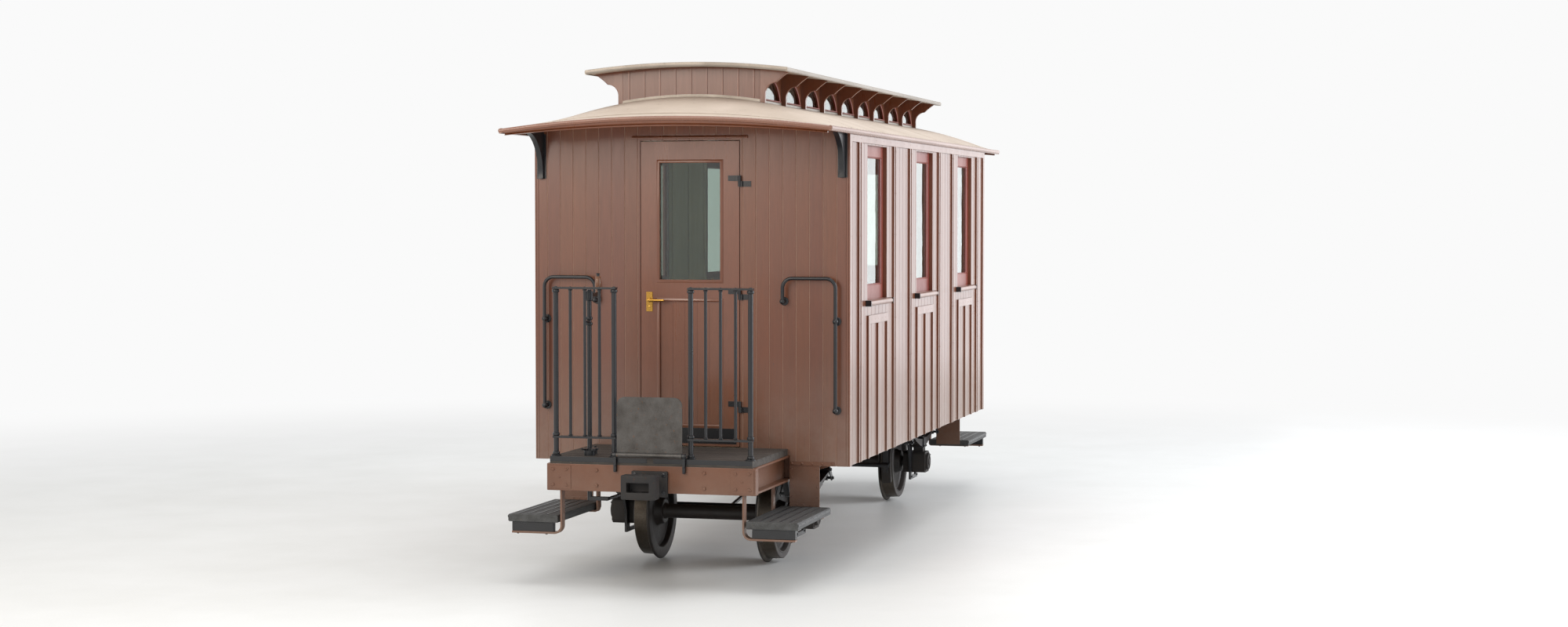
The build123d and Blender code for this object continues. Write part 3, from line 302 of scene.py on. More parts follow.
    def placeBoth(self, name, body, material, bevel=0.0):
        # One piece on the front body, and its like, turned half round, on the rear one.
        rear = Shape().add([(-p.x, -p.y, p.z) for p in self.points], self.faces)
        self.place(f"{name}_front", material, body=f"{body}_front", bevel=bevel)
        rear.place(f"{name}_rear", material, body=f"{body}_rear", bevel=bevel)


# Materials: a shared recipe of two patterns, a tint for each board or piece, dirt and a fine relief.
# mottle, fine and relief are sizes in millimetres. Bristle lines, grain and grit are drawn about
# ten times as coarse as they are, or they wouldn't show at the size of a coach.
pattern = {
    "mean": 0.45,  # share of the small pattern in the mix
    "large": (7, 0.6),  # detail and roughness of each noise
    "small": (4, 0.65),
    "spots": (9, 0.75),
    "clouds": (8, 0.7),
    "cloud": 110,  # size in mm of the clouds in the dirt
    "colours": (0.36, 0.64),  # values of the mix between which the colour changes
    "glosses": (0.3, 0.7),
    "hue": 0.05,  # share of a tint that goes to the hue
    "spotEdge": (0.72, 0.3, 0.06),  # value where spots start, its fall with their share, and its softness
    "spotMost": 0.85,  # how far a spot hides the colour under it
    "coatRoughness": 0.2,
}


def newMaterial(name):
    material = bpy.data.materials.new(name)
    material.use_nodes = True
    tree = material.node_tree
    return material, tree, tree.nodes["Principled BSDF"], addNode(tree, "ShaderNodeTexCoord", out="Object")


def sized(size, detail, roughness):
    # Settings of a pattern whose size is in millimetres
    return {"Scale": 1000 / size, "Detail": detail, "Roughness": roughness}


def surface(name, colour, other, mottle=200, fine=8.3, stretch=(1, 1, 1), mix=0.8, rough=(0.4, 0.55),
            metal=0.0, relief=0.4, tint=0.0, coat=0.0, dirt=None, speck=None):
    material, tree, shader, place = newMaterial(name)
    mixKind = {"data_type": "RGBA"}
    stretched = addNode(tree, "ShaderNodeMapping", {"Scale": stretch}, {"Vector": place})
    parts = {}
    for socket, size, kind in ((2, mottle, "large"), (3, fine, "small")):
        settings = sized(size, *pattern[kind])
        parts[socket] = addNode(tree, "ShaderNodeTexNoise", settings, {"Vector": stretched})
    both = addNode(tree, "ShaderNodeMix", {"data_type": "FLOAT", 0: pattern["mean"]}, parts)
    limits = dict(enumerate(pattern["colours"] + (0.0, mix), 1))
    share = addNode(tree, "ShaderNodeMapRange", limits, {0: both})
    colours = {**mixKind, 6: linear(colour), 7: linear(other)}
    tone = addNode(tree, "ShaderNodeMix", colours, {0: share}, 2)
    if tint:
        island = addNode(tree, "ShaderNodeNewGeometry", out="Random Per Island")
        turn = tint * pattern["hue"]
        value = addNode(tree, "ShaderNodeMapRange", {3: 1 - tint, 4: 1 + tint}, {0: island})
        hue = addNode(tree, "ShaderNodeMapRange", {3: 0.5 - turn, 4: 0.5 + turn}, {0: island})
        links = {"Color": tone, "Value": value, "Hue": hue}
        tone = addNode(tree, "ShaderNodeHueSaturation", {}, links)
    if speck:
        # Small spots where the finish is broken: (colour, spacing in mm, share from 0 to 1).
        spots = addNode(tree, "ShaderNodeTexNoise", sized(speck[1], *pattern["spots"]), {"Vector": place})
        start, fall, soft = pattern["spotEdge"]
        edge = start - speck[2] * fall
        limits = {1: edge, 2: edge + soft, 3: 0.0, 4: pattern["spotMost"]}
        where = addNode(tree, "ShaderNodeMapRange", limits, {0: spots})
        colours = {**mixKind, 7: linear(speck[0])}
        tone = addNode(tree, "ShaderNodeMix", colours, {0: where, 6: tone}, 2)
    if dirt:
        # Dust that thickens downwards: (colour, upper height, lower height, share).
        height = addNode(tree, "ShaderNodeSeparateXYZ", {}, {0: place}, 2)
        limits = {1: dirt[1], 2: dirt[2], 3: 0.0, 4: dirt[3]}
        fall = addNode(tree, "ShaderNodeMapRange", limits, {0: height})
        settings = sized(pattern["cloud"], *pattern["clouds"])
        cloud = addNode(tree, "ShaderNodeTexNoise", settings, {"Vector": place})
        amount = addNode(tree, "ShaderNodeMath", {"operation": "MULTIPLY"}, {0: fall, 1: cloud})
        colours = {**mixKind, 7: linear(dirt[0])}
        tone = addNode(tree, "ShaderNodeMix", colours, {0: amount, 6: tone}, 2)
    limits = dict(enumerate(pattern["glosses"] + rough, 1))
    gloss = addNode(tree, "ShaderNodeMapRange", limits, {0: both})
    height = {"Strength": 1, "Distance": relief / 1000}
    bump = addNode(tree, "ShaderNodeBump", height, {"Height": both})
    tree.links.new(tone, shader.inputs["Base Color"])
    tree.links.new(gloss, shader.inputs["Roughness"])
    tree.links.new(bump, shader.inputs["Normal"])
    shader.inputs["Metallic"].default_value = metal
    shader.inputs["Coat Weight"].default_value = coat
    shader.inputs["Coat Roughness"].default_value = pattern["coatRoughness"]
    return material


# Brown linseed oil paint brushed down the boards: bristle lines, a soft gloss, each board its own shade
bodyPaint = surface(
    "brown oil paint on vertical boards", "#744026", "#60331C", mottle=333, fine=14.3,
    stretch=(1, 1, 0.08), rough=(0.26, 0.42), relief=1.4, tint=0.06, coat=0.5,
    dirt=("#8A7A6C", 1.35, 0.66, 0.75), speck=("#5A3B30", 25, 0.3),
)
# The same paint on planed mouldings and bars, a little fresher where the brush left more of it
mouldPaint = surface(
    "brown oil paint on mouldings", "#7B462C", "#673A22", mottle=167, fine=12.5,
    stretch=(1, 1, 0.15), mix=0.7, rough=(0.24, 0.38), relief=0.9, tint=0.04, coat=0.5,
    dirt=("#8A7A6C", 1.3, 0.66, 0.6), speck=("#5A3B30", 20, 0.25),
)
# Lighter line in every joint of the boards: painted highlight of the joints' beads, with some dust in them
jointHighlightPaint = surface(
    "pale joint lines, painted highlight and dust", "#B08C78", "#967260", mottle=83, fine=7.1,
    stretch=(1, 1, 0.2), relief=0.3,
)
# Brown enamel on rolled steel: orange-peel gloss, dust from the track and rust pricks at the arrises
framePaint = surface(
    "brown enamel on rolled steel", "#704127", "#5A321D", mottle=250, fine=3.8, mix=0.7,
    rough=(0.3, 0.5), relief=0.3, dirt=("#85786B", 0.9, 0.3, 0.8), speck=("#6E3A20", 29, 0.35),
)
# Red-brown paint on the pine sashes, worn through to the wood in small spots
sashPaint = surface(
    "red-brown paint on sashes", "#84382B", "#6C2A20", mottle=125, fine=9.1,
    stretch=(1, 1, 0.2), mix=0.7, rough=(0.28, 0.45), tint=0.05, speck=("#6A4632", 16.7, 0.3),
)
# Beige paint on roof canvas: dull, cloth-grained and streaked by soot
roofCanvas = surface(
    "beige paint on roof canvas", "#C8B9AB", "#A89888", mottle=455, fine=2.4, mix=0.75,
    rough=(0.6, 0.8), relief=0.6, speck=("#8A7866", 56, 0.35),
)
# Brown paint brushed on zinc edging: smoother than wood, so it gleams on its lip
edgePaint = surface(
    "brown paint on zinc roof edging", "#8A5C48", "#704836", fine=6.2, stretch=(0.2, 1, 1),
    mix=0.6, rough=(0.2, 0.34), relief=0.3, coat=0.35, speck=("#5A3B30", 33, 0.25),
)
# Rolled zinc left unpainted, dulled to a warm grey by soot and rain, and darkened further as painted shade of
# the upper roof's edge
shadedBareZinc = surface(
    "weathered zinc edging, darkened as painted shade", "#A0978D", "#7E756B", fine=6.2, stretch=(0.2, 1, 1),
    rough=(0.36, 0.52), metal=0.5, relief=0.3, speck=("#665C52", 33, 0.35),
)
# Black asphalt varnish on hand-forged iron: lumpy hammer facets with a low gloss
ironBlack = surface(
    "black varnish on forged iron", "#1B1C20", "#0E0F12", mottle=56, fine=6.7,
    rough=(0.24, 0.42), relief=0.5, coat=0.05, speck=("#4A3428", 22, 0.25),
)
# Spring steel drawn between rolls, blued and oiled, with brown spots where the leaves rub
springBlack = surface(
    "blued spring steel", "#22232A", "#2E2924", mottle=111, fine=5, stretch=(0.2, 1, 1),
    mix=0.9, rough=(0.3, 0.5), metal=0.6, relief=0.3, speck=("#5A3A24", 33, 0.45),
)
# Rolled tyre steel that has stood for years: the tread has dulled to a brown-grey film over smooth metal
treadSteel = surface(
    "dulled tyre tread", "#5E5850", "#40372F", mottle=71, fine=3.1, stretch=(1, 0.3, 1),
    rough=(0.34, 0.52), metal=1.0, relief=0.15, speck=("#5E3A24", 33, 0.35),
)
# Black paint on cast wheel centres, greyed by brake dust that lies thickest low down
wheelPaint = surface(
    "grimy black paint on wheel castings", "#1B191A", "#2B2522", mottle=100, fine=5.9,
    rough=(0.42, 0.68), relief=0.7, dirt=("#4F453D", 0.62, 0.0, 0.5), speck=("#4A2E1E", 31, 0.35),
)
# Sand-cast iron: open grain, dull, with rust in the pits
castIron = surface(
    "sand-cast iron", "#222224", "#34302D", mottle=62, fine=3.6, rough=(0.5, 0.75), metal=0.35,
    relief=1.2, dirt=("#554A40", 0.6, 0.1, 0.45), speck=("#55341F", 25, 0.4),
)
# Trodden oak deck planks: grey, furred grain with dark dust in the hollows
deckWood = surface(
    "trodden oak deck planks", "#4A443E", "#2E2925", mottle=38, fine=5.3,
    stretch=(1, 0.06, 1), mix=0.95, rough=(0.6, 0.85), relief=1.6, tint=0.06, speck=("#6A6157", 33, 0.3),
)
# Step boards, sawn along their length, nearly black with oil and shoe dust
stepWood = surface(
    "oiled step planks", "#4A4B4B", "#2E2D2C", mottle=45, fine=5.9, stretch=(0.06, 1, 1),
    mix=0.95, rough=(0.5, 0.75), relief=1.8, speck=("#5E574E", 38, 0.35),
)
# Pine floor boards, scrubbed and waxed: long sawn grain with a low sheen
floorWood = surface(
    "scrubbed pine floor", "#8A6A48", "#6A4D32", mottle=56, fine=6.7, stretch=(0.05, 1, 1),
    mix=0.9, rough=(0.4, 0.6), relief=0.8, speck=("#4E3A28", 50, 0.3),
)
# Ash slats under yellowed shellac: sharp sawn grain with a warm gloss
benchWood = surface(
    "varnished ash slats", "#B8834A", "#8C5A2E", mottle=42, fine=4.8, stretch=(1, 0.05, 0.4),
    mix=0.9, rough=(0.22, 0.38), relief=0.5, tint=0.12, coat=0.4,
)
# Cream paint brushed on the inner boarding: bristle lines and an eggshell sheen
innerPaint = surface(
    "cream paint on inner boarding", "#D8C9A6", "#C4B38E", mottle=250, fine=11.1,
    stretch=(1, 1, 0.1), mix=0.7, rough=(0.45, 0.6), relief=0.5, tint=0.03,
)
# Cast brass, rubbed pale where hands reach it
brass = surface(
    "hand-rubbed brass", "#C79A4B", "#8E6B30", mottle=50, fine=3.8, mix=0.7, rough=(0.16, 0.36),
    metal=1.0, relief=0.2,
)
# Rolled steel tread plate: worn smooth by shoes in patches, rusty between them
treadPlate = surface(
    "walked steel tread plate", "#5A5856", "#3C3835", mottle=71, fine=4.2, mix=0.85,
    rough=(0.32, 0.6), metal=0.75, relief=0.6, speck=("#6E4A30", 29, 0.4),
)
# Turned beech grip, dark and polished by gloves
gripWood = surface(
    "polished beech grip", "#7A4A26", "#57331A", mottle=33, fine=4.5, stretch=(1, 1, 0.08),
    mix=0.9, rough=(0.2, 0.34), relief=0.3, coat=0.5,
)
# Drawn window glass: clear and thin, with slow ripples that bend reflections and a film of dust
glass = {
    "colour": "#CEDBD4",
    "ior": 1.52,
    "ripple": (140, 0.7),  # length and height of the ripples in mm
    "rippleNoise": (1.5, 0.5),  # detail and roughness
    "dust": (70, 9, 0.7),  # size in mm, detail and roughness of the dusty patches
    "dustEdge": (0.45, 0.85),
    "haze": 0.06,
}
windowGlass, tree, shader, place = newMaterial("drawn window glass")
settings = sized(glass["ripple"][0], *glass["rippleNoise"])
waves = addNode(tree, "ShaderNodeTexNoise", settings, {"Vector": place})
dust = addNode(tree, "ShaderNodeTexNoise", sized(*glass["dust"]), {"Vector": place})
limits = {1: glass["dustEdge"][0], 2: glass["dustEdge"][1], 3: 0.0, 4: glass["haze"]}
haze = addNode(tree, "ShaderNodeMapRange", limits, {0: dust})
height = {"Strength": 1, "Distance": glass["ripple"][1] / 1000}
ripple = addNode(tree, "ShaderNodeBump", height, {"Height": waves})
tree.links.new(haze, shader.inputs["Roughness"])
tree.links.new(ripple, shader.inputs["Normal"])
shader.inputs["Base Color"].default_value = linear(glass["colour"])
shader.inputs["Transmission Weight"].default_value = 1.0
shader.inputs["IOR"].default_value = glass["ior"]
print("materials done")

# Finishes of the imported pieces: material, rounding in mm, flat faces joined first or not, nodes
finishes = [
    (bodyPaint, 2.2, True, "side_boards end_boards"),
    (bodyPaint, 2, False, "clerestory_walls"),
    (mouldPaint, 3, True, "side_mouldings door_front door_rear"),
    (mouldPaint, 3, False, "clerestory_brackets"),
    (mouldPaint, 4, False, "roof_cornices"),
    (innerPaint, 2, True, "side_wall_left side_wall_right end_wall_front end_wall_rear"),
    (sashPaint, 4, True, "window_sashes"),
    (windowGlass, 0, False, "window_glass door_glass_front door_glass_rear clerestory_glass"),
    (brass, 1, False, "door_handle_front door_handle_rear"),
    (roofCanvas, 4, False, "main_roof clerestory_roof"),
    (floorWood, 1, True, "saloon_floor"),
    (deckWood, 3, True, "platform_floors"),
    (stepWood, 5, True, "step_boards"),
    (framePaint, 1, True, "step_plates"),
    (framePaint, 2, False, "step_straps"),
    (framePaint, 3, True, "sole_bars cross_members"),
    (framePaint, 4, True, "headstocks"),
    (ironBlack, 0, False, "grab_rails"),
    (ironBlack, 1, False, "door_hinges spring_links brake_rigging hand_brake platform_railings"),
    (ironBlack, 2, False, "axle_guards brake_hangers gangway_lugs"),
    (ironBlack, 3, False, "roof_corbels spring_brackets"),
    (ironBlack, 3, True, "step_bearers"),
    (castIron, 3, False, "axleboxes brake_blocks"),
    (castIron, 6, False, "couplers"),
    (springBlack, 1, False, "leaf_springs"),
    (wheelPaint, 0, False, "wheels_front wheels_rear axle_front axle_rear"),
    (treadPlate, 1, False, "gangway_plate_front gangway_plate_rear"),
    (gripWood, 2, False, "brake_grip"),
    (benchWood, 3, True, "bench_legs"),
    (benchWood, 4, True, "bench_slats bench_backs"),
]
for material, bevel, flat, names in finishes:
    for name in names.split():
        piece = nodes[name]
        piece.data.materials.clear()
        piece.data.materials.append(material)
        modify(piece, bevel / 1000, flat)
print("packed pieces finished")

# Wheels: disc, flange and the tyre's sides in grimy paint, its running surface bare
wheel = {
    "axle": (1.75, 0.305),  # distance from the coach's middle, and height
    "inner": 0.345,  # distances of the tyre's two faces from the middle of the axle
    "outer": 0.455,
    "sides": 96,
    # Profiles as (distance outwards from the tyre's inner or outer face, radius)
    "flange": [(0, 0.292), (0.0015, 0.2985), (0.005, 0.3035), (0.01, 0.305), (0.015, 0.3035)],
    "run": [
        (0.015, 0.3035), (0.0185, 0.2985), (0.021, 0.291), (0.0245, 0.2835), (0.03, 0.2805), (0.106, 0.2765),
    ],
    "face": [
        (-0.004, 0.2765), (0, 0.2725), (0, 0.2455), (-0.002, 0.2435), (-0.002, 0.2405), (0, 0.2385),
        (0, 0.233), (-0.006, 0.229), (-0.033, 0.225), (-0.0415, 0.214), (-0.042, 0.11), (-0.035, 0.094),
        (-0.01, 0.084), (0.011, 0.079), (0.014, 0.075), (0.014, 0.052),
    ],
    "back": [
        (-0.014, 0.052), (-0.014, 0.075), (-0.011, 0.079), (0.02, 0.086), (0.035, 0.096), (0.042, 0.11),
        (0.0415, 0.214), (0.033, 0.225), (0.004, 0.23), (0, 0.234), (0, 0.292),
    ],
    "screws": (8, 0.2415, 0.0035),  # count, circle and size of the screws in the tyre's locking ring
    "screwFace": -0.002,  # their place, from the outer face
}
for end, way in (("front", 1), ("rear", -1)):
    centre = (way * wheel["axle"][0], 0, wheel["axle"][1])
    low, high = wheel["inner"], wheel["outer"]
    shape = Shape()
    shape.turned(shifted(wheel["flange"], low), centre, toSide, wheel["sides"], 0, False)
    shape.turned(shifted(wheel["run"], low), centre, toSide, wheel["sides"], 1, False)
    body = shifted(wheel["face"], high) + shifted(wheel["back"], low)
    shape.turned(body, centre, toSide, wheel["sides"], 0, False)
    count, circle, size = wheel["screws"]
    rim = Vector((centre[0], high + wheel["screwFace"], centre[2]))
    spots = ringOf(rim, Vector(toFront), Vector(upward), circle, count, 0.5)
    shape.rivets(spots, toSide, size, 0.5, 10)
    shape.place(
        f"wheelPair_{end}", wheelPaint, treadSteel, copies="sides", body=f"wheelset_{end}", smooth=28,
        instead=(f"wheels_{end}",),
    )
print("wheels done")

# Leaf springs of seven separate leaves in a forged buckle, with rolled eyes
spring = {
    "half": 0.425,
    "camber": 0.06,
    "leaves": 7,
    "shortest": 0.6,  # the lowest leaf is longer than one step by this share of a step
    "thick": 0.009,
    "gap": 0.0005,
    "drop": 0.0002,  # of the whole stack
    "points": 29,  # along each leaf
    "tip": (0.035, 0.45),  # length over which a tip is ground, and the share taken off
    "y": (0.568, 0.643),
    "mid": 0.4795,
    "seat": 0.415,
    "eye": [(0, 0.0092), (0, 0.018), (0.075, 0.018), (0.075, 0.0092), (0, 0.0092)],
    "eyeLift": 0.018,
    "buckle": (0.045, 0.008, 0.0125),  # half its length, its reach past the leaves, its height over "mid"
    "cap": (0.03, -0.004, 0.0185),
    "nut": 0.013,
    "bolts": (0.034, 0.012, 0.007),  # distance from the middle, height over "seat", and size
}
x = wheel["axle"][0]
sweep = (spring["half"] ** 2 + spring["camber"] ** 2) / (2 * spring["camber"])
centre = spring["mid"] + sweep
shape = Shape()
for number in range(spring["leaves"]):
    half = spring["half"] * (1 - number / (spring["leaves"] + spring["shortest"]))
    upper = sweep + (number - 0.5) * spring["thick"] + spring["drop"]
    lower = upper + spring["thick"] - spring["gap"]
    top = []
    bottom = []
    for along in spaced(-half, half, spring["points"]):
        # The tips are ground thinner over their last few centimetres.
        ground = max(0, 1 - (half - abs(along)) / spring["tip"][0]) * spring["tip"][1] if number else 0
        top.append((x + along, centre - math.sqrt(upper ** 2 - along ** 2)))
        bottom.append((x + along, centre - math.sqrt(lower ** 2 - along ** 2) + ground * spring["thick"]))
    shape.prism(bottom + top[::-1], "y", *spring["y"])
eyeZ = spring["mid"] + spring["camber"] + spring["eyeLift"] - spring["thick"] / 2
for way in bothWays:
    shape.turned(spring["eye"], (x + way * spring["half"], spring["y"][0], eyeZ), toSide)
shape.place("leafStacks", springBlack, copies="corners", bevel=0.0007, instead=("leaf_springs",))
shape = Shape()
low = spring["seat"]
for half, reach, lift in (spring["buckle"], spring["cap"]):
    y = (spring["y"][0] - reach, spring["y"][1] + reach)
    shape.block((x - half, x + half), y, (low, spring["mid"] + lift))
    low = spring["mid"] + lift
shape.bolts([(x, sum(spring["y"]) / 2, low)], upward, spring["nut"])
out, lift, size = spring["bolts"]
face = spring["y"][1] + spring["buckle"][1]
shape.bolts([(x + way * out, face, spring["seat"] + lift) for way in bothWays], toSide, size, False)
shape.place("springBuckles", ironBlack, copies="corners", bevel=0.0025)
print("springs done")

# Grab rails bent from round bar, on turned stanchions with bolted feet
grab = {
    "wall": 2.29,
    "flange": 2.2955,  # face of a foot, under its bolts
    "x": 2.34,
    "radius": 0.011,
    "outer": 0.93,
    "inner": 0.6,
    "top": 1.815,
    "bend": 0.06,
    "feet": [(0.93, 1.015), (0.93, 1.555), (0.6, 1.675)],
    "past": 0.007,  # how far the bar reaches below its end feet
    "stanchion": [
        (-0.001, 0.026), (0.005, 0.026), (0.007, 0.024), (0.009, 0.013), (0.018, 0.01), (0.03, 0.01),
        (0.036, 0.014), (0.04, 0.0165), (0.048, 0.0178), (0.056, 0.0165), (0.062, 0.012), (0.065, 0.005),
        (0.0655, 0.0),
    ],
    "bolt": (0.019, 0.0045),  # distance of the bolts from the middle of a foot, and their size
}
bend = grab["bend"]
line = [(grab["outer"], grab["feet"][0][1] - grab["past"])]
line += arc((grab["outer"] - bend, grab["top"] - bend), bend, 0, 90, 14)
line += arc((grab["inner"] + bend, grab["top"] - bend), bend, 90, 180, 14)
line += [(grab["inner"], grab["feet"][2][1] - grab["past"])]
shape = Shape().tube([(grab["x"], y, z) for y, z in line], grab["radius"], 20)
out, size = grab["bolt"]
for y, z in grab["feet"]:
    shape.turned(grab["stanchion"], (grab["wall"], y, z), toFront, 28)
    shape.bolts([(grab["flange"], y, z + way * out) for way in bothWays], toFront, size, False)
shape.place("grabRails", ironBlack, copies="corners", instead=("grab_rails",))

# Arches of the roofs as (height of the centre, radius), and where the drawn-down ends start and stop
roof = {
    "body": (0.2509, 2.67),
    "inside": (0.2509, 2.65),
    "endTop": (-5.0525, 7.8347),
    "endLow": (-4.8831, 7.6453),
    "fasciaLow": (-8.2408, 10.964),
    "bodyEnd": 2.29,
    "end": 2.84,
}
upper = {
    "arch": (-2.035, 5.14),
    "thick": 0.022,
    "half": 0.64,
    "end": 2.3825,
}


def archHeight(arch, y):
    return arch[0] + math.sqrt(arch[1] ** 2 - y ** 2)


def roofTop(x, y):
    body = archHeight(roof["body"], y)
    share = max(0, abs(x) - roof["bodyEnd"]) / (roof["end"] - roof["bodyEnd"])
    return body + (archHeight(roof["endTop"], y) - body) * share


def upperTop(x, y):
    return archHeight(upper["arch"], y) + upper["thick"]


# Cornice at each roof end: planed with a round, a hollow and two fillets, as (x, share of its height)
cornice = {
    "half": 1.0,
    "gap": 0.0004,  # between its top and the roof
    "section": [
        (2.804, 0), (2.804, 1), (2.834, 1), (2.834, 0.86), (2.8315, 0.82), (2.831, 0.74), (2.8285, 0.6),
        (2.8245, 0.46), (2.82, 0.36), (2.8175, 0.3), (2.8235, 0.26), (2.8275, 0.2), (2.8285, 0.12),
        (2.8265, 0.05), (2.822, 0),
    ],
}


def corniceSection(y):
    low = archHeight(roof["fasciaLow"], y)
    high = archHeight(roof["endLow"], y) - cornice["gap"]
    return [(x, low + share * (high - low)) for x, share in cornice["section"]]


shape = Shape().across(corniceSection, cornice["half"])
shape.place("roofEndCornices", mouldPaint, copies="ends", smooth=24, instead=("roof_cornices",))

# Turned grip on the brake crank
grip = {
    "place": (2.807, -0.416, 1.7353),
    "profile": [
        (0.0, 0.0082), (0.0, 0.014), (0.002, 0.0165), (0.007, 0.017), (0.01, 0.0145), (0.014, 0.015),
        (0.028, 0.018), (0.046, 0.019), (0.064, 0.0185), (0.08, 0.0165), (0.088, 0.0155), (0.093, 0.0165),
        (0.0965, 0.0145), (0.0975, 0.0082), (0.0, 0.0082),
    ],
}
shape = Shape().turned(grip["profile"], grip["place"], upward, 40)
shape.place("crankGrip", gripWood, instead=("brake_grip",))
print("rails, cornices and grip done")

# Pale lines in the joints of the side boards: painted highlight and dust
boards = {
    "count": 44,
    "length": 4.58,
    "width": 0.0024,
    "depth": (0.986, 0.9985),
    "bottom": 0.677,
    "top": 2.702,
    "windows": (-1.5, 0.0, 1.5),
    "windowHalf": 0.285,
    "windowZ": (1.66, 2.64),
}


def strip(middle, width):
    return middle - width / 2, middle + width / 2


shape = Shape()
for x in spaced(-boards["length"] / 2, boards["length"] / 2, boards["count"] + 1)[1:-1]:
    spans = [(boards["bottom"], boards["top"])]
    if min(abs(x - middle) for middle in boards["windows"]) < boards["windowHalf"]:
        spans = [(boards["bottom"], boards["windowZ"][0]), (boards["windowZ"][1], boards["top"])]
    for span in spans:
        shape.block(strip(x, boards["width"]), boards["depth"], span)
shape.place("sideJointHighlights", jointHighlightPaint, copies="sides")

# Boards of the end walls, with a joint on the middle line and one every 84 mm
endBoards = {
    "joint": 0.925 / 11,
    "joints": 11,  # on each side of the middle line
    "edge": 0.985,
    "gap": 0.003,
    "x": (2.2752, 2.2898),
    "beadX": (2.276, 2.2885),
    "top": 0.0005,  # gap between the boards and the roof
    "beadTop": 0.003,
    "beadFoot": 0.002,
    "steps": [(0.32, 2.655), (0.632, 0.735), (2.0, 0.675)],  # (reach from the middle, foot of the boards)
}


def boardFoot(y):
    return next(low for reach, low in endBoards["steps"] if abs(y) < reach)


def boardTop(y, gap):
    return archHeight(roof["inside"], y) - gap


shape = Shape()
beads = Shape()
joints = [endBoards["joint"] * i for i in range(-endBoards["joints"], endBoards["joints"] + 1)]
edges = [-endBoards["edge"]] + joints + [endBoards["edge"]]
cuts = [way * reach for reach, low in endBoards["steps"][:2] for way in bothWays]
for first, last in zip(edges, edges[1:]):
    start = first + (endBoards["gap"] / 2 if first in joints else 0)
    end = last - (endBoards["gap"] / 2 if last in joints else 0)
    stops = sorted([start, end] + [cut for cut in cuts if start < cut < end])
    line = []
    for near, far in zip(stops, stops[1:]):
        foot = boardFoot((near + far) / 2)
        line += [(near, foot), (far, foot)]
    line += [(y, boardTop(y, endBoards["top"])) for y in (end, (start + end) / 2, start)]
    shape.prism(line, "x", *endBoards["x"])
# Pale strips in the end walls' joints: painted highlight and dust
for y in joints:
    span = (boardFoot(y) + endBoards["beadFoot"], boardTop(y, endBoards["beadTop"]))
    beads.block(endBoards["beadX"], strip(y, boards["width"]), span)
shape.place("endWallBoards", bodyPaint, copies="ends", bevel=0.0022, instead=("end_boards",))
beads.place("endJointHighlights", jointHighlightPaint, copies="ends")
print("joints done")

# Edging round the main roof: a rolled lip with a drip groove
edging = {
    "side": [
        (1.012, 2.713), (1.012, 2.6915), (1.015, 2.688), (1.019, 2.6865), (1.024, 2.688),
        (1.0265, 2.6915), (1.03, 2.695), (1.0335, 2.7), (1.0345, 2.706), (1.033, 2.712),
        (1.029, 2.7165), (1.023, 2.7185), (1.017, 2.72), (1.0165, 2.714),
    ],
    "length": (-2.8452, 2.8452),
    "half": 1.0295,
    # Section at the ends: (x, height over the roof's underside or top)
    "start": (2.8355, -0.004),
    "low": [(2.8355, 0.004), (2.836, -0.0015), (2.8395, -0.004), (2.843, -0.0022), (2.8445, 0.002),
            (2.8465, 0.0085)],
    "top": [(2.846, -0.005), (2.843, -0.0005), (2.838, 0.0012), (2.83, 0.0022), (2.829, -0.0005)],
}


def endBead(y):
    top = archHeight(roof["endTop"], y)
    low = archHeight(roof["endLow"], y)
    section = [(edging["start"][0], top + edging["start"][1])]
    section += [(x, low + lift) for x, lift in edging["low"]]
    return section + [(x, top + lift) for x, lift in edging["top"]]


bead = Shape().across(endBead, edging["half"]).spread("ends")
shape = Shape().prism(edging["side"], "x", *edging["length"]).spread("sides")
shape.join(bead).place("roofEdging", edgePaint, smooth=40)

# Edging of the upper roof: a half-round strip on its sides and ends
strips = {
    # Section at the sides: (y, height over the roof's underside or top)
    "sideLow": [(0.63, 0.004), (0.634, -0.0035), (0.639, -0.0045), (0.6425, -0.002), (0.6445, 0.004),
                (0.645, 0.013)],
    "sideTop": [(0.643, -0.0015), (0.638, 0.0015), (0.628, 0.0028), (0.627, -0.002)],
    # Section at the ends: (distance outwards, height over the roof's underside or top)
    "start": (-0.004, -0.004),
    "endLow": [(-0.004, 0.004), (-0.002, -0.004), (0.002, -0.0045), (0.0045, 0.001), (0.0055, 0.01)],
    "endTop": [(0.004, -0.001), (0, 0.0015), (-0.01, 0.0025), (-0.011, -0.002)],
    "past": 0.004,
    "half": 0.6395,
}


def upperBead(y):
    low = archHeight(upper["arch"], y)
    top = low + upper["thick"]
    section = [(upper["end"] + strips["start"][0], top + strips["start"][1])]
    section += [(upper["end"] + out, low + lift) for out, lift in strips["endLow"]]
    return section + [(upper["end"] + out, top + lift) for out, lift in strips["endTop"]]


low = archHeight(upper["arch"], upper["half"])
high = low + upper["thick"]
line = [(y, low + lift) for y, lift in strips["sideLow"]]
line += [(y, high + lift) for y, lift in strips["sideTop"]]
reach = upper["end"] + strips["past"]
shape = Shape().prism(line, "x", -reach, reach).spread("sides")
bead = Shape().across(upperBead, strips["half"], 40).spread("ends")
# The upper edging's grey is darkened as painted shade.
shape.join(bead).place("upperRoofEdging", shadedBareZinc, smooth=40)

# Laps of the canvas across both roofs, with a row of tacks along the sides
laps = {
    "main": [-2.75, -2.2, -1.32, -0.44, 0.44, 1.32, 2.2, 2.75],
    "upper": [-2.0, -1.2, -0.4, 0.4, 1.2, 2.0],
    "mainY": (0.441, 1.02),  # from the clerestory's foot to the edge
    "upperY": 0.625,
    # Section: (share of half the width, height over the canvas)
    "section": [(-1, -0.002), (-0.8, 0.0024), (1, 0.0003), (1, -0.002)],
    "half": 0.012,
}
tacks = {
    "main": (2.81, 1.008, 72, 0.35),  # half the length of the row, its y, how many, and their lean
    "upper": (2.36, 0.619, 60, 0.12),
    "size": 0.0028,
}


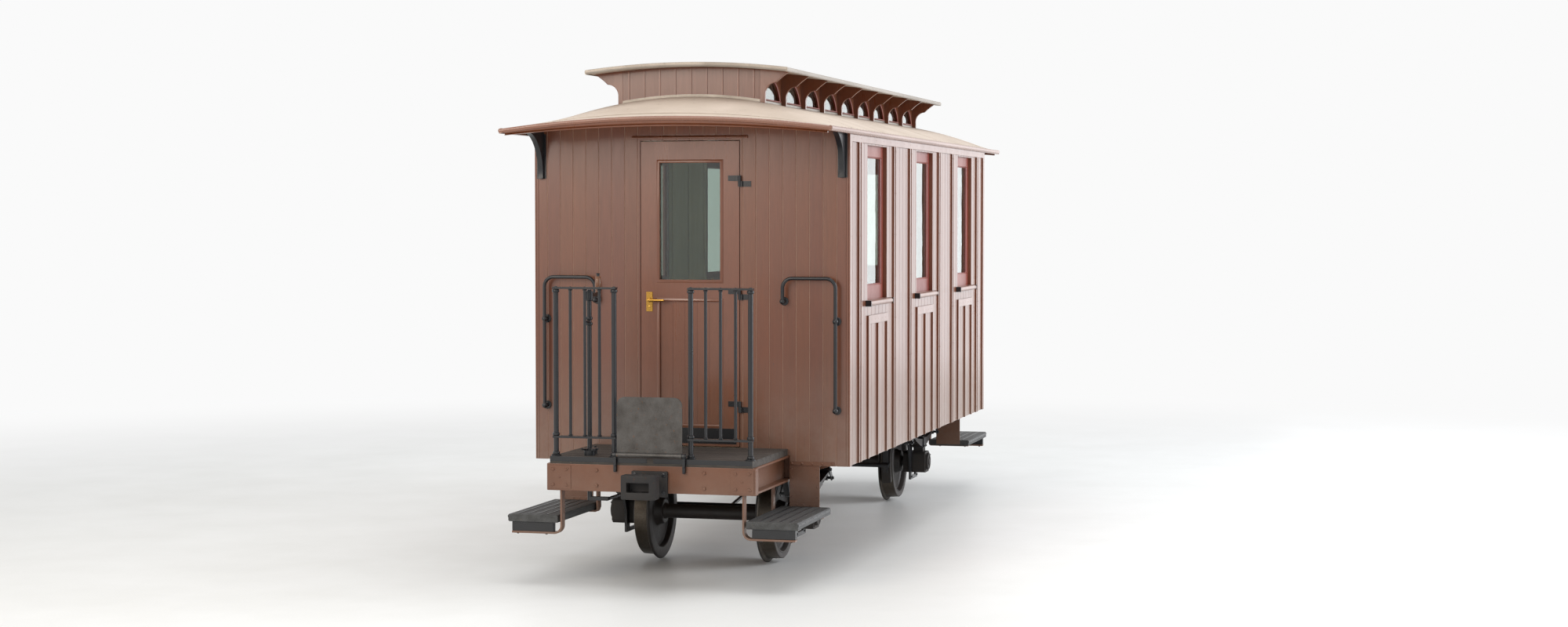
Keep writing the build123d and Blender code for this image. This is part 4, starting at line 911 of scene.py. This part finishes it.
def addLap(shape, x, ys, surfaceAt):
    rows = []
    for y in ys:
        z = surfaceAt(x, y)
        rows.append([(x + along * laps["half"], y, z + lift) for along, lift in laps["section"]])
    shape.loft(rows)


shape = Shape()
near, far = laps["mainY"]
for x in laps["main"]:
    if abs(x) > roof["bodyEnd"]:
        addLap(shape, x, spaced(-far, far, 61), roofTop)
    else:
        for way in bothWays:
            addLap(shape, x, spaced(way * near, way * far, 25), roofTop)
for x in laps["upper"]:
    addLap(shape, x, spaced(-laps["upperY"], laps["upperY"], 33), upperTop)
shape.place("canvasLaps", roofCanvas, smooth=50)
shape = Shape()
for (half, y, count, lean), top in ((tacks["main"], roofTop), (tacks["upper"], upperTop)):
    spots = [(x, y, top(x, y)) for x in spaced(-half, half, count)]
    shape.rivets(spots, (0, lean, 1), tacks["size"], 0.5, 8)
shape.place("canvasTacks", ironBlack, copies="sides")
print("roof edges done")

# Clerestory: planed frames round the half-round lights, and a flashing along its foot
clerestory = {
    "face": 0.44,
    "bays": 9,
    "pitch": 0.5,
    "sill": 2.9084,
    "half": 0.19,
    "radius": 0.212,
    "drop": 0.094,  # of the arcs' centre below the sill
    "end": 2.2625,
    "frame": [(-0.001, -0.004), (-0.001, 0.004), (0.0065, 0.0065), (0.013, 0.003), (0.013, -0.004)],
    "sillHalf": 0.203,
    "sillBead": [(0.436, -0.008), (0.4495, -0.008), (0.4515, -0.005), (0.4505, -0.001), (0.436, 0.003)],
    "flashing": [
        (0.4385, 0.016), (0.4385, -0.002), (0.456, -0.0075), (0.456, -0.0055), (0.443, 0.0005),
        (0.4412, 0.016),
    ],
    "endFlashing": [
        (-0.002, 0.018), (-0.002, -0.002), (0.016, -0.002), (0.016, 0.0012), (0.003, 0.003), (0.001, 0.018),
    ],
    "bracket": 0.0128,  # half the room that a bracket takes from the flashing
    "battens": (-0.4, 0.4, 9),
    "battenX": (2.2615, 2.2655),
    "battenWidth": 0.012,
    "battenGaps": (0.018, 0.004),  # over the lower roof and under the upper one
    "flashingHalf": 0.4395,
}
frames = Shape()
flashing = Shape()
reach = math.asin(clerestory["half"] / clerestory["radius"])
foot = roofTop(0, clerestory["face"])
for bay in range(clerestory["bays"]):
    middle = clerestory["pitch"] * (bay - (clerestory["bays"] - 1) / 2)
    rows = []
    for turn in spaced(-reach, reach, 21):
        row = []
        for grow, out in clerestory["frame"]:
            radius = clerestory["radius"] + grow
            z = clerestory["sill"] - clerestory["drop"] + radius * math.cos(turn)
            row.append((middle + radius * math.sin(turn), clerestory["face"] + out, z))
        rows.append(row)
    frames.loft(rows)
    line = [(y, clerestory["sill"] + lift) for y, lift in clerestory["sillBead"]]
    frames.prism(line, "x", middle - clerestory["sillHalf"], middle + clerestory["sillHalf"])
    half = clerestory["pitch"] / 2 - clerestory["bracket"]
    line = [(y, foot + lift) for y, lift in clerestory["flashing"]]
    flashing.prism(line, "x", middle - half, middle + half)
frames.place("lunetteFrames", sashPaint, copies="sides", bevel=0.0006)


def endFlashing(y):
    z = archHeight(roof["body"], y)
    return [(clerestory["end"] + out, z + lift) for out, lift in clerestory["endFlashing"]]


shape = Shape().across(endFlashing, clerestory["flashingHalf"], 24).spread("ends")
# The flashing takes the same zinc, darkened as painted shade.
flashing.spread("sides").join(shape).place("clerestoryFlashing", shadedBareZinc, smooth=40)

# Battens on the clerestory's end walls
shape = Shape()
below, above = clerestory["battenGaps"]
for y in spaced(*clerestory["battens"]):
    span = (archHeight(roof["body"], y) + below, archHeight(upper["arch"], y) - above)
    shape.block(clerestory["battenX"], strip(y, clerestory["battenWidth"]), span)
shape.place("clerestoryEndBattens", mouldPaint, copies="ends", bevel=0.0012)
print("clerestory done")

# Corbel plates: a forged flange on the wall behind each roof corbel, with hexagon bolts
corbel = {
    "blocks": [((2.2898, 2.2938), (0.933, 0.993), (2.425, 2.7))],
    "bolts": [(2.2938, (0.9385, 0.9875), (2.445, 2.56, 2.675), toFront, 0.0042, False)],
}
Shape().build(corbel).place("corbelPlates", ironBlack, copies="corners", bevel=0.0008)

# Irons of the end walls: an angle along the foot, and the step plate's lip with its rivets
wallIron = {
    "blocks": [
        ((2.2895, 2.2938), (0.634, 0.915), (0.6765, 0.701)),  # angle under the wall
        ((2.2895, 2.2932), (0.632, 0.82), (0.4255, 0.444)),  # lip of the step plate
    ],
    "rivets": [
        (2.2938, spaced(0.648, 0.90368, 5), 0.6888, toFront, 0.0086),
        (2.29, (0.645, 0.806), (0.425, 0.485, 0.545, 0.605, 0.655), toFront, 0.0056),
        (2.2932, (0.68, 0.72, 0.76), 0.4348, toFront, 0.0048),
    ],
}
Shape().build(wallIron).place("endWallIrons", framePaint, copies="corners", bevel=0.0006)

# Rivets of the frame, corner knees between sole bar and headstock, and a plate on the headstock's corner
knee = [(3.0296, 0.5776), (3.0296, 0.6225), (3.0246, 0.6225), (2.985, 0.583), (2.985, 0.5776)]
frameIron = {
    "blocks": [((3.0895, 3.0935), (0.49, 0.63), (0.586, 0.724))],
    "prisms": [(knee, "z", 0.592, 0.597), (knee, "z", 0.713, 0.718)],
    "rivets": [
        ((1.55, 1.63, 1.87, 1.95), 0.577, (0.608, 0.655, 0.702), toSide, 0.0062),  # axle guard
        ((0.602, 0.638, 2.162, 2.198, 2.932, 2.968), 0.577, (0.62, 0.69), toSide, 0.0062),  # cross members
        ((1.258, 1.282, 2.218, 2.242), 0.577, 0.597, toSide, 0.005),  # spring brackets
        (spaced(0.1, 2.18, 14), 0.596, 0.735, upward, 0.004, 0.1),
        (3.0935, (0.51, 0.61), (0.606, 0.704), toFront, 0.0062),
        (3.0935, 0.56, 0.655, toFront, 0.0062),
    ],
    "bolts": [(3.09, (0.52, 0.6, 0.33), (0.61, 0.7), toFront, 0.0095)],
}
Shape().build(frameIron).place("frameRivets", framePaint, copies="corners", bevel=0.0005)

# Bolts of the coupler plates, the axle guards' keepers, the spring links and the step irons
ironBolt = {
    "bolts": [
        (3.106, 0.088, (0.578, 0.682), toFront, 0.0105),  # coupler plate
        ((1.655, 1.845), 0.565, 0.195, toSide, 0.0075),  # keeper of the axle guard
        ((1.325, 2.175), 0.654, 0.553, toSide, 0.0095),  # spring links
        ((1.27, 2.23), 0.654, 0.493, toSide, 0.0095),
        (3.045, (0.66, 0.84), 0.3125, downward, 0.008),  # step irons
        (2.4, (0.64, 0.84), 0.369, downward, 0.007),
    ],
}
Shape().build(ironBolt).place("ironBolts", ironBlack, copies="corners")
print("frame irons done")

# Axlebox covers: raised ring, boss, four bolts, guides and an oil filler
box = {
    "face": (1.75, 0.679, 0.305),  # middle of the cover
    "circle": (0.036, 4, 0.0062),  # radius, count and size of its bolts
    "rounds": [
        ([(-0.001, 0.06), (0.002, 0.06), (0.0045, 0.057), (0.0045, 0.05), (0.002, 0.047), (-0.001, 0.047)],
         1.75, 0.679, 0.305, toSide, 48),
        ([(-0.001, 0.024), (0.004, 0.023), (0.008, 0.019), (0.0095, 0.012), (0.0098, 0)],
         1.75, 0.679, 0.305, toSide, 32),
        ([(-0.002, 0.015), (0.006, 0.0145), (0.008, 0.0165), (0.012, 0.0165), (0.014, 0.015), (0.0145, 0)],
         1.795, 0.6655, 0.352, (0, 0.6, 0.8), 24),
    ],
    "blocks": [((x - 0.003, x + 0.003), (0.6645, 0.6705), (0.24, 0.37)) for x in (1.684, 1.816)],
}
shape = Shape().build(box).circle(box["face"], toSide, *box["circle"])
shape.place("axleboxCovers", castIron, copies="corners", bevel=0.0006)

# Windows: glazing beads, black caps on the sill bars' ends that stand in as painted shade of those ends,
# brass lifts inside, and brown liners in the openings
window = {
    "clear": 0.235,
    "z": (1.755, 2.565),
    "panes": ((0.9623, 1), (0.9577, -1)),  # faces of the glass, and the way each looks
    "bead": [(0, 0), (0.009, 0), (0.007, 0.005), (0, 0.009)],  # (inwards from the sash, away from the glass)
    "cap": (0.323, 0.0084, (1.0004, 1.0364), (1.6295, 1.6665)),  # distance from the middle, width, y and z
    "capNail": (0.315, 1.035, 1.648),
    "nailHead": (0.003, 0.6, 10),
    "lifts": [(0.12, 0.044, (0.9432, 0.9452), (1.69, 1.726)), (0.12, 0.036, (0.934, 0.944), (1.692, 1.697))],
    "liner": (0.2784, 0.2798),
    "linerY": (0.9753, 0.9992),
    "linerZ": (1.665, 2.635),
    "linerEnds": ((1.6652, 1.6666), (2.6334, 2.6348)),
}
beads = Shape()
caps = Shape()
lifts = Shape()
liners = Shape()
low, high = window["z"]
half = window["clear"]
for x in boards["windows"]:
    for face, way in window["panes"]:
        for side in bothWays:
            line = [(x + side * (half - a), face + way * b) for a, b in window["bead"]]
            beads.prism(line, "z", low, high)
        for edge, rise in ((low, 1), (high, -1)):
            line = [(face + way * b, edge + rise * a) for a, b in window["bead"]]
            beads.prism(line, "x", x - half, x + half)
    for side in bothWays:
        for piece, (out, width, y, z) in zip((caps, lifts, lifts), [window["cap"]] + window["lifts"]):
            piece.block(strip(x + side * out, width), y, z)
        out, y, z = window["capNail"]
        caps.rivets([(x + side * out, y, z)], toSide, *window["nailHead"])
        span = sorted(x + side * reach for reach in window["liner"])
        liners.block(span, window["linerY"], window["linerZ"])
    for span in window["linerEnds"]:
        liners.block((x - window["liner"][1], x + window["liner"][1]), window["linerY"], span)
beads.place("glazingBeads", sashPaint, copies="sides")
# Black iron caps on the sill bars' ends, whose darkness is painted shade of the ends
caps.place("sillEndShadeCaps", ironBlack, copies="sides", bevel=0.0012)
lifts.place("sashLifts", brass, copies="sides", bevel=0.0008)
liners.place("windowLiners", mouldPaint, copies="sides")

# Nails in the battens and panels of the sides, painted over but still proud
nails = {
    "face": 1.01,
    "head": (0.0026, 0.5, 8),
    "levels": spaced(0.72, 2.61, 8),
    "battens": (0.474, 0.526),  # distances from a window's middle
    "posts": 0.266,
    "postLevels": (0.72, 1.1, 1.44),
    "rail": (0.2, 5, 1.543),  # half a row, how many, and height
    "cornice": (2.2, 22, 2.668),
    "corners": (-2.26, 2.26),
}
places = []
for x in boards["windows"]:
    for side in bothWays:
        places.append((sorted(x + side * out for out in nails["battens"]), nails["levels"]))
        places.append((x + side * nails["posts"], nails["postLevels"]))
    half, count, z = nails["rail"]
    places.append((spaced(x - half, x + half, count), z))
half, count, z = nails["cornice"]
places += [(nails["corners"], nails["levels"]), (spaced(-half, half, count), z)]
shape = Shape()
for xs, zs in places:
    shape.rivets(grid(xs, nails["face"], zs), toSide, *nails["head"])
shape.place("battenNails", mouldPaint, copies="sides")
print("windows done")

# Doors: bolection beads round the glass and the panel, and ribs on the panel
door = {
    "half": 0.195,
    "glass": (1.8, 2.52),
    "panel": (0.91, 1.67),
    # Beads: opening, inset, place, width and how far they stand proud
    "beads": [("glass", 0.002, 2.2896, 0.02, 0.0065), ("panel", 0.002, 2.2896, 0.02, 0.0065),
              ("glass", 0.006, 2.2498, 0.0001, -0.004)],
    "moulding": [(0.3, 1), (0.7, 0.8), (1, 0.3)],  # shares of a bead's width and height
    "ribs": (-0.117, 0.117, 4),
    "ribX": (2.2795, 2.2815),
    "ribWidth": 0.008,
    "ribZ": (0.912, 1.668),
}


def framed(shape, half, low, high, x, width, proud):
    # Four moulded strips round an opening, mitred by their shape.
    section = [(0, 0), (0.0006, proud * 0.6)]
    section += [(width * along, proud * rise) for along, rise in door["moulding"]] + [(width, 0)]
    rows = []
    for y, z in ((-1, -1), (1, -1), (1, 1), (-1, 1)):
        edge = high if z > 0 else low
        rows.append([(x + rise, y * (half + along), edge + z * along) for along, rise in section])
    shape.loft(rows, caps=False, closed=True)


beads = Shape()
for opening, inset, x, width, proud in door["beads"]:
    low, high = door[opening]
    framed(beads, door["half"] - inset, low + inset, high - inset, x, width, proud)
for y in spaced(*door["ribs"]):
    beads.block(door["ribX"], strip(y, door["ribWidth"]), door["ribZ"])
beads.placeBoth("doorBeads", "door", mouldPaint)

# Kick plate, and black skins 0.3 mm thick over the door's half of each hinge, with a ring round the knuckle
hinges = (1.025, 1.715, 2.405)
skins = [(z + 0.0007, z + 0.0343) for z in hinges]


def levels(lifts):
    return [z + lift for z in hinges for lift in lifts]


knuckle = [
    (0, 0.0065), (0, 0.01), (0.0004, 0.0103), (0.0332, 0.0103), (0.0336, 0.01), (0.0336, 0.0065), (0, 0.0065),
]
doorIron = {
    "blocks": [
        ((2.2896, 2.2916), (-0.296, 0.296), (0.795, 0.89)),
        *[((2.2895, 2.2943), (0.2447, 0.3153), skin) for skin in skins],
        *[((2.2907, 2.3023), (0.3007, 0.3115), skin) for skin in skins],
    ],
    "rounds": [(knuckle, 2.302, 0.32, [skin[0] for skin in skins], upward, 28)],
    "rivets": [
        (2.2916, (-0.285, -0.17, -0.055, 0.06, 0.175, 0.285), (0.804, 0.881), toFront, 0.0036, 0.45, 10),
        (2.294, (0.262, 0.288), levels((0.01, 0.026)), toFront, 0.003, 0.4, 10),
    ],
}
hingeScrew = {"rivets": [(2.294, (0.342, 0.374), levels((-0.01, -0.025)), toFront, 0.003, 0.4, 10)]}
Shape().build(doorIron).placeBoth("doorIrons", "door", ironBlack, bevel=0.0004)
Shape().build(hingeScrew).place("hingeScrews", ironBlack, copies="ends")

# Brass of the lock: screws of its plate, a keyhole and the handle's collar
lock = {
    "rivets": [(2.294, (-0.272, -0.248), (1.612, 1.718), toFront, 0.0026, 0.5, 10)],
    "rounds": [
        ([(-0.001, 0.0085), (0.0012, 0.0082), (0.002, 0.006), (0.002, 0.0032), (-0.0005, 0.003)],
         2.294, -0.26, 1.632, toFront, 24),
        ([(-0.001, 0.0145), (0.002, 0.0142), (0.0045, 0.012), (0.005, 0.0088)],
         2.294, -0.26, 1.675, toFront, 28),
    ],
}
Shape().build(lock).placeBoth("doorTrims", "door", brass)

# Brown liners on the door jambs, over the edge of the inner wall, and a planed rain strip over each door
jamb = {
    "blocks": [
        ((2.2302, 2.2896), (-0.3202, -0.3192), (0.7755, 2.655)),
        ((2.2302, 2.2896), (0.3192, 0.3202), (0.7755, 2.655)),
        ((2.2302, 2.2896), (-0.3202, 0.3202), (2.6542, 2.6552)),
    ],
}
Shape().build(jamb).place("doorLiners", mouldPaint, copies="ends")
rain = {
    "line": [
        (2.2896, 2.668), (2.306, 2.668), (2.3075, 2.67), (2.3075, 2.674), (2.295, 2.684), (2.2896, 2.686),
    ],
    "half": 0.37,
}
shape = Shape().prism(rain["line"], "y", -rain["half"], rain["half"])
shape.place("doorRainStrips", mouldPaint, copies="ends", bevel=0.0008)
print("doors done")

# Gangway plates: raised lozenges on the walked face and countersunk hinge rivets
gangway = {
    "face": 3.098,
    "y": 0.18,
    "z": (0.822, 1.116),
    "pitch": 0.0285,
    "size": (0.0105, 0.0035),
    "crown": (0.72, 0.6),  # size of a lozenge's top, as shares of its foot
    "height": 0.0012,
    "corner": (0.15, 1.087, 0.038),  # centre and radius of the rounded corners
    "rivets": [(3.104, spaced(-0.16, 0.16, 5), 0.833, toFront, 0.005, 0.4)],
}
lozenge = ((1, 0), (0, 1), (-1, 0), (0, -1))
rows = int((gangway["z"][1] - gangway["z"][0]) / gangway["pitch"]) + 1
columns = int(2 * gangway["y"] / gangway["pitch"]) + 1
middle, top, radius = gangway["corner"]
wide, tall = gangway["crown"]
shape = Shape()
for i, j in product(range(columns), range(rows)):
    y = -gangway["y"] + i * gangway["pitch"]
    z = gangway["z"][0] + j * gangway["pitch"]
    if math.hypot(max(abs(y) - middle, 0), max(z - top, 0)) <= radius:
        long, short = gangway["size"] if (i + j) % 2 else gangway["size"][::-1]
        foot = [(gangway["face"] + 0.001, y + a * long, z + b * short) for a, b in lozenge]
        face = gangway["face"] - gangway["height"]
        shape.loft([foot, [(face, y + a * long * wide, z + b * short * tall) for a, b in lozenge]])
shape.build(gangway).placeBoth("treadLozenges", "gangway", treadPlate)
nut = [(0, 0.0125), (0.003, 0.0125), (0.003, 0.0068), (0.0065, 0.006)]
lugBolt = {
    "bolts": [(3.112, (-0.211, 0.211), (0.7, 0.733), toFront, 0.0055, False)],
    "rounds": [(nut, 3.112, side * 0.219, 0.797, (0, side, 0), 20) for side in bothWays],
}
Shape().build(lugBolt).place("gangwayBolts", ironBlack, copies="ends")

# Railings: feet with bolts, and turned collars and rivets where posts and bars pass the rails
posts = (0.235, 0.597)
bars = (0.3255, 0.416, 0.5065)
postRing = [(0, 0.0155), (0.003, 0.0205), (0.01, 0.0215), (0.017, 0.0205), (0.02, 0.0155)]
barRing = [(0, 0.0095), (0.002, 0.013), (0.007, 0.013), (0.009, 0.0095)]
railing = {
    "rivets": [
        (3.045, posts, 1.775, upward, 0.0095, 0.55, 16),
        (3.045, bars, 1.775, upward, 0.0065, 0.5, 12),
    ],
    "rounds": [
        (postRing, 3.045, posts, (0.7835, 0.8955, 1.742), upward, 24),
        (barRing, 3.045, bars, (0.895, 1.7535), upward, 20),
    ],
    "foot": (3.045, 0.783),  # x and height of the feet
    "circle": (0.0225, 4, 0.004, False),  # radius, count and size of their bolts, without washers
}
shape = Shape().build(railing)
for y in posts:
    shape.circle((railing["foot"][0], y, railing["foot"][1]), upward, *railing["circle"])
shape.place("railingCollars", ironBlack, copies="corners")

# Irons of the platforms: a valance and a nosing, step treads, and nails in the planks of deck and steps
planks = [start + side for start in spaced(2.292, 2.992, 8) for side in (0.026, 0.074)]
deck = {
    "blocks": [
        ((2.2935, 3.0765), (0.8885, 0.8925), (0.403, 0.417)),
        ((3.086, 3.092), (0.02, 0.6195), (0.748, 0.7768)),
        *[((2.32, 3.05), strip(y, 0.008), (0.424, 0.4272)) for y in (0.655, 0.715, 0.775, 0.835)],
    ],
    "rivets": [
        ([x for x in planks if x < 3.07], (0.57, 0.3), 0.7747, upward, 0.0045, 0.18, 10),
        ((2.36, 2.62, 2.88, 3.02), (0.6, 0.72, 0.84), 0.4247, upward, 0.0045, 0.18, 10),
        (spaced(2.35, 3.015, 8), 0.8925, 0.41, toSide, 0.0035, 0.4, 10),
    ],
}
Shape().build(deck).place("deckIrons", ironBlack, copies="corners", bevel=0.0008)

# Hand brake of the front platform: ratchet wheel with its pawl, collars on the column and the crank's nut
x, y, z = 2.965, -0.416, 0.8065
ratchet = {
    "teeth": 18,
    "tip": 0.052,
    "root": 0.043,
    "lean": 0.15,  # of a tooth's back, as a share of the pitch
}
step = 2 * math.pi / ratchet["teeth"]
ring = []
for i in range(ratchet["teeth"]):
    for radius, turn in ((ratchet["tip"], step * i), (ratchet["root"], step * (i + ratchet["lean"]))):
        ring.append((x + radius * math.cos(turn), y + radius * math.sin(turn)))
pawl = [(2.902, -0.42), (2.87, -0.408), (2.862, -0.414), (2.866, -0.424), (2.9, -0.432), (2.914, -0.424)]
pivot = [(0, 0.013), (0.03, 0.013), (0.031, 0.009), (0.046, 0.009), (0.048, 0.007)]
collar = [(0, 0.0145), (0.003, 0.019), (0.01, 0.02), (0.017, 0.019), (0.02, 0.0145)]
crankNut = [(0, 0.012), (0.004, 0.0125), (0.006, 0.009), (0.007, 0)]
brake = {
    "prisms": [(ring, "z", z, z + 0.011), (pawl, "z", 0.807, 0.8165)],
    "rounds": [
        (pivot, 2.872, -0.415, 0.7748, upward, 24),
        (collar, x, y, (1.545, 1.578, 1.69), upward, 24),
        (crankNut, 2.807, y, 1.8448, upward, 20),
    ],
    "bolts": [(x, y, 1.747, upward, 0.013)],
    "circle": (0.0265, 4, 0.0035, False),
}
shape = Shape().build(brake).circle((x, y, z - 0.0015), upward, *brake["circle"])
shape.place("brakeRatchet", ironBlack, bevel=0.0006)
print("platforms done")

# Saloon: cover strips, cornice and dado rail of the walls, and ribs under the ceiling
saloon = {
    "blocks": [
        *[(strip(x, 0.028), (0.931, 0.9403), (1.64, 2.7))
          for x in (-1.85, -1.15, -0.75, -0.35, 0.35, 0.75, 1.15, 1.85)],
        ((-2.22, 2.22), (0.928, 0.9403), (2.645, 2.675)),
        ((-2.22, 2.22), (0.926, 0.9403), (1.625, 1.65)),
    ],
    "ribs": (-2.05, -1.25, -0.45, 0.45, 1.25, 2.05),
    "ribY": (0.445, 0.935),
    "ribWidth": 0.036,
    "ribDepth": (0.028, 0.0005),  # of its underside and top, below the roof boards
}
Shape().build(saloon).place("wallStrips", innerPaint, copies="sides", bevel=0.002)
low, high = saloon["ribDepth"]
near, far = saloon["ribY"]
shape = Shape()
for x, way in product(saloon["ribs"], (1, -1)):
    ys = spaced(way * near, way * far, 17)
    line = [(y, boardTop(y, low)) for y in ys] + [(y, boardTop(y, high)) for y in ys[::-1]]
    shape.prism(line, "x", *strip(x, saloon["ribWidth"]))
shape.place("ceilingRibs", benchWood, bevel=0.003)
print("saloon done")

# Stage: a pale floor that fades into the light, soft lamps and the camera of the photograph
stage = {
    "radius": 60,
    "sides": 128,
    "fade": (4.5, 13.0),  # distances between which the floor turns into the backdrop
    "backdrop": "#FAFAFA",
    "light": ("#F4F6F8", 0.62),
    "lens": 56,
    "sensor": 36,
    "camera": (16.61, 4.385, 2.195),
    "aim": (0.6, 0.15, 1.53),
}
# Power-floated concrete, sealed: nearly even, with a soft sheen
floorPaint = surface(
    "pale sealed concrete floor", "#EDEDEB", "#E4E4E1", mottle=769, fine=11.1, rough=(0.35, 0.5),
    relief=0.2,
)
tree = floorPaint.node_tree
shader = tree.nodes["Principled BSDF"]
place = addNode(tree, "ShaderNodeTexCoord", out="Object")
far = addNode(tree, "ShaderNodeVectorMath", {"operation": "LENGTH"}, {0: place}, "Value")
limits = {"interpolation_type": "SMOOTHSTEP", 1: stage["fade"][0], 2: stage["fade"][1]}
fade = addNode(tree, "ShaderNodeMapRange", limits, {0: far})
glow = addNode(tree, "ShaderNodeEmission", {"Color": linear(stage["backdrop"]), "Strength": 1.0})
faded = addNode(tree, "ShaderNodeMixShader", {}, {0: fade, 1: shader.outputs[0], 2: glow})
tree.links.new(faded, tree.nodes["Material Output"].inputs["Surface"])
turns = [2 * math.pi * i / stage["sides"] for i in range(stage["sides"])]
ring = [(stage["radius"] * math.cos(t), stage["radius"] * math.sin(t), 0) for t in turns]
mesh = bpy.data.meshes.new("floor")
mesh.from_pydata(ring, [], [list(range(stage["sides"]))])
mesh.materials.append(floorPaint)
ground = bpy.data.objects.new("floor", mesh)
bpy.context.scene.collection.objects.link(ground)

world = bpy.data.worlds.new("pale hall")
bpy.context.scene.world = world
world.use_nodes = True
tree = world.node_tree
tree.nodes.clear()
seen = addNode(tree, "ShaderNodeLightPath", out="Is Camera Ray")
paths = seen.node.outputs
for kind in ("Is Glossy Ray", "Is Transmission Ray"):
    seen = addNode(tree, "ShaderNodeMath", {"operation": "MAXIMUM"}, {0: seen, 1: paths[kind]})
lights = []
for colour, strength in (stage["light"], (stage["backdrop"], 1.0)):
    settings = {"Color": linear(colour), "Strength": strength}
    lights.append(addNode(tree, "ShaderNodeBackground", settings))
both = addNode(tree, "ShaderNodeMixShader", {}, {0: seen, 1: lights[0], 2: lights[1]})
addNode(tree, "ShaderNodeOutputWorld", {}, {0: both})


def aimed(thing, place, aim):
    thing.location = place
    thing.rotation_euler = (Vector(aim) - Vector(place)).to_track_quat("-Z", "Y").to_euler()
    bpy.context.scene.collection.objects.link(thing)
    return thing


lamps = [
    # name, place, aimed at, size, watts, colour
    ("window wall", (-4.0, 13.0, 5.5), (0.0, 0.0, 1.2), 9.0, 1600, "#F3F8FF"),
    ("hall light near", (13.0, -5.0, 6.0), (1.5, 0.0, 1.4), 6.0, 620, "#FFF4E6"),
    ("far windows", (-17.0, 6.6, 2.6), (0.0, 1.0, 1.6), 9.0, 230, "#F6FAFF"),
    ("roof light", (2.0, 1.0, 10.0), (0.0, 0.0, 2.0), 8.0, 500, "#FFFFFF"),
]
for name, place, aim, size, watts, colour in lamps:
    lamp = bpy.data.lights.new(name, "AREA")
    lamp.size = size
    lamp.energy = watts
    lamp.color = linear(colour)[:3]
    aimed(bpy.data.objects.new(name, lamp), place, aim).visible_camera = False
lens = bpy.data.cameras.new("camera")
lens.lens = stage["lens"]
lens.sensor_width = stage["sensor"]
bpy.context.scene.camera = aimed(bpy.data.objects.new("camera", lens), stage["camera"], stage["aim"])
bpy.context.scene.view_settings.view_transform = "Standard"
print("stage done")
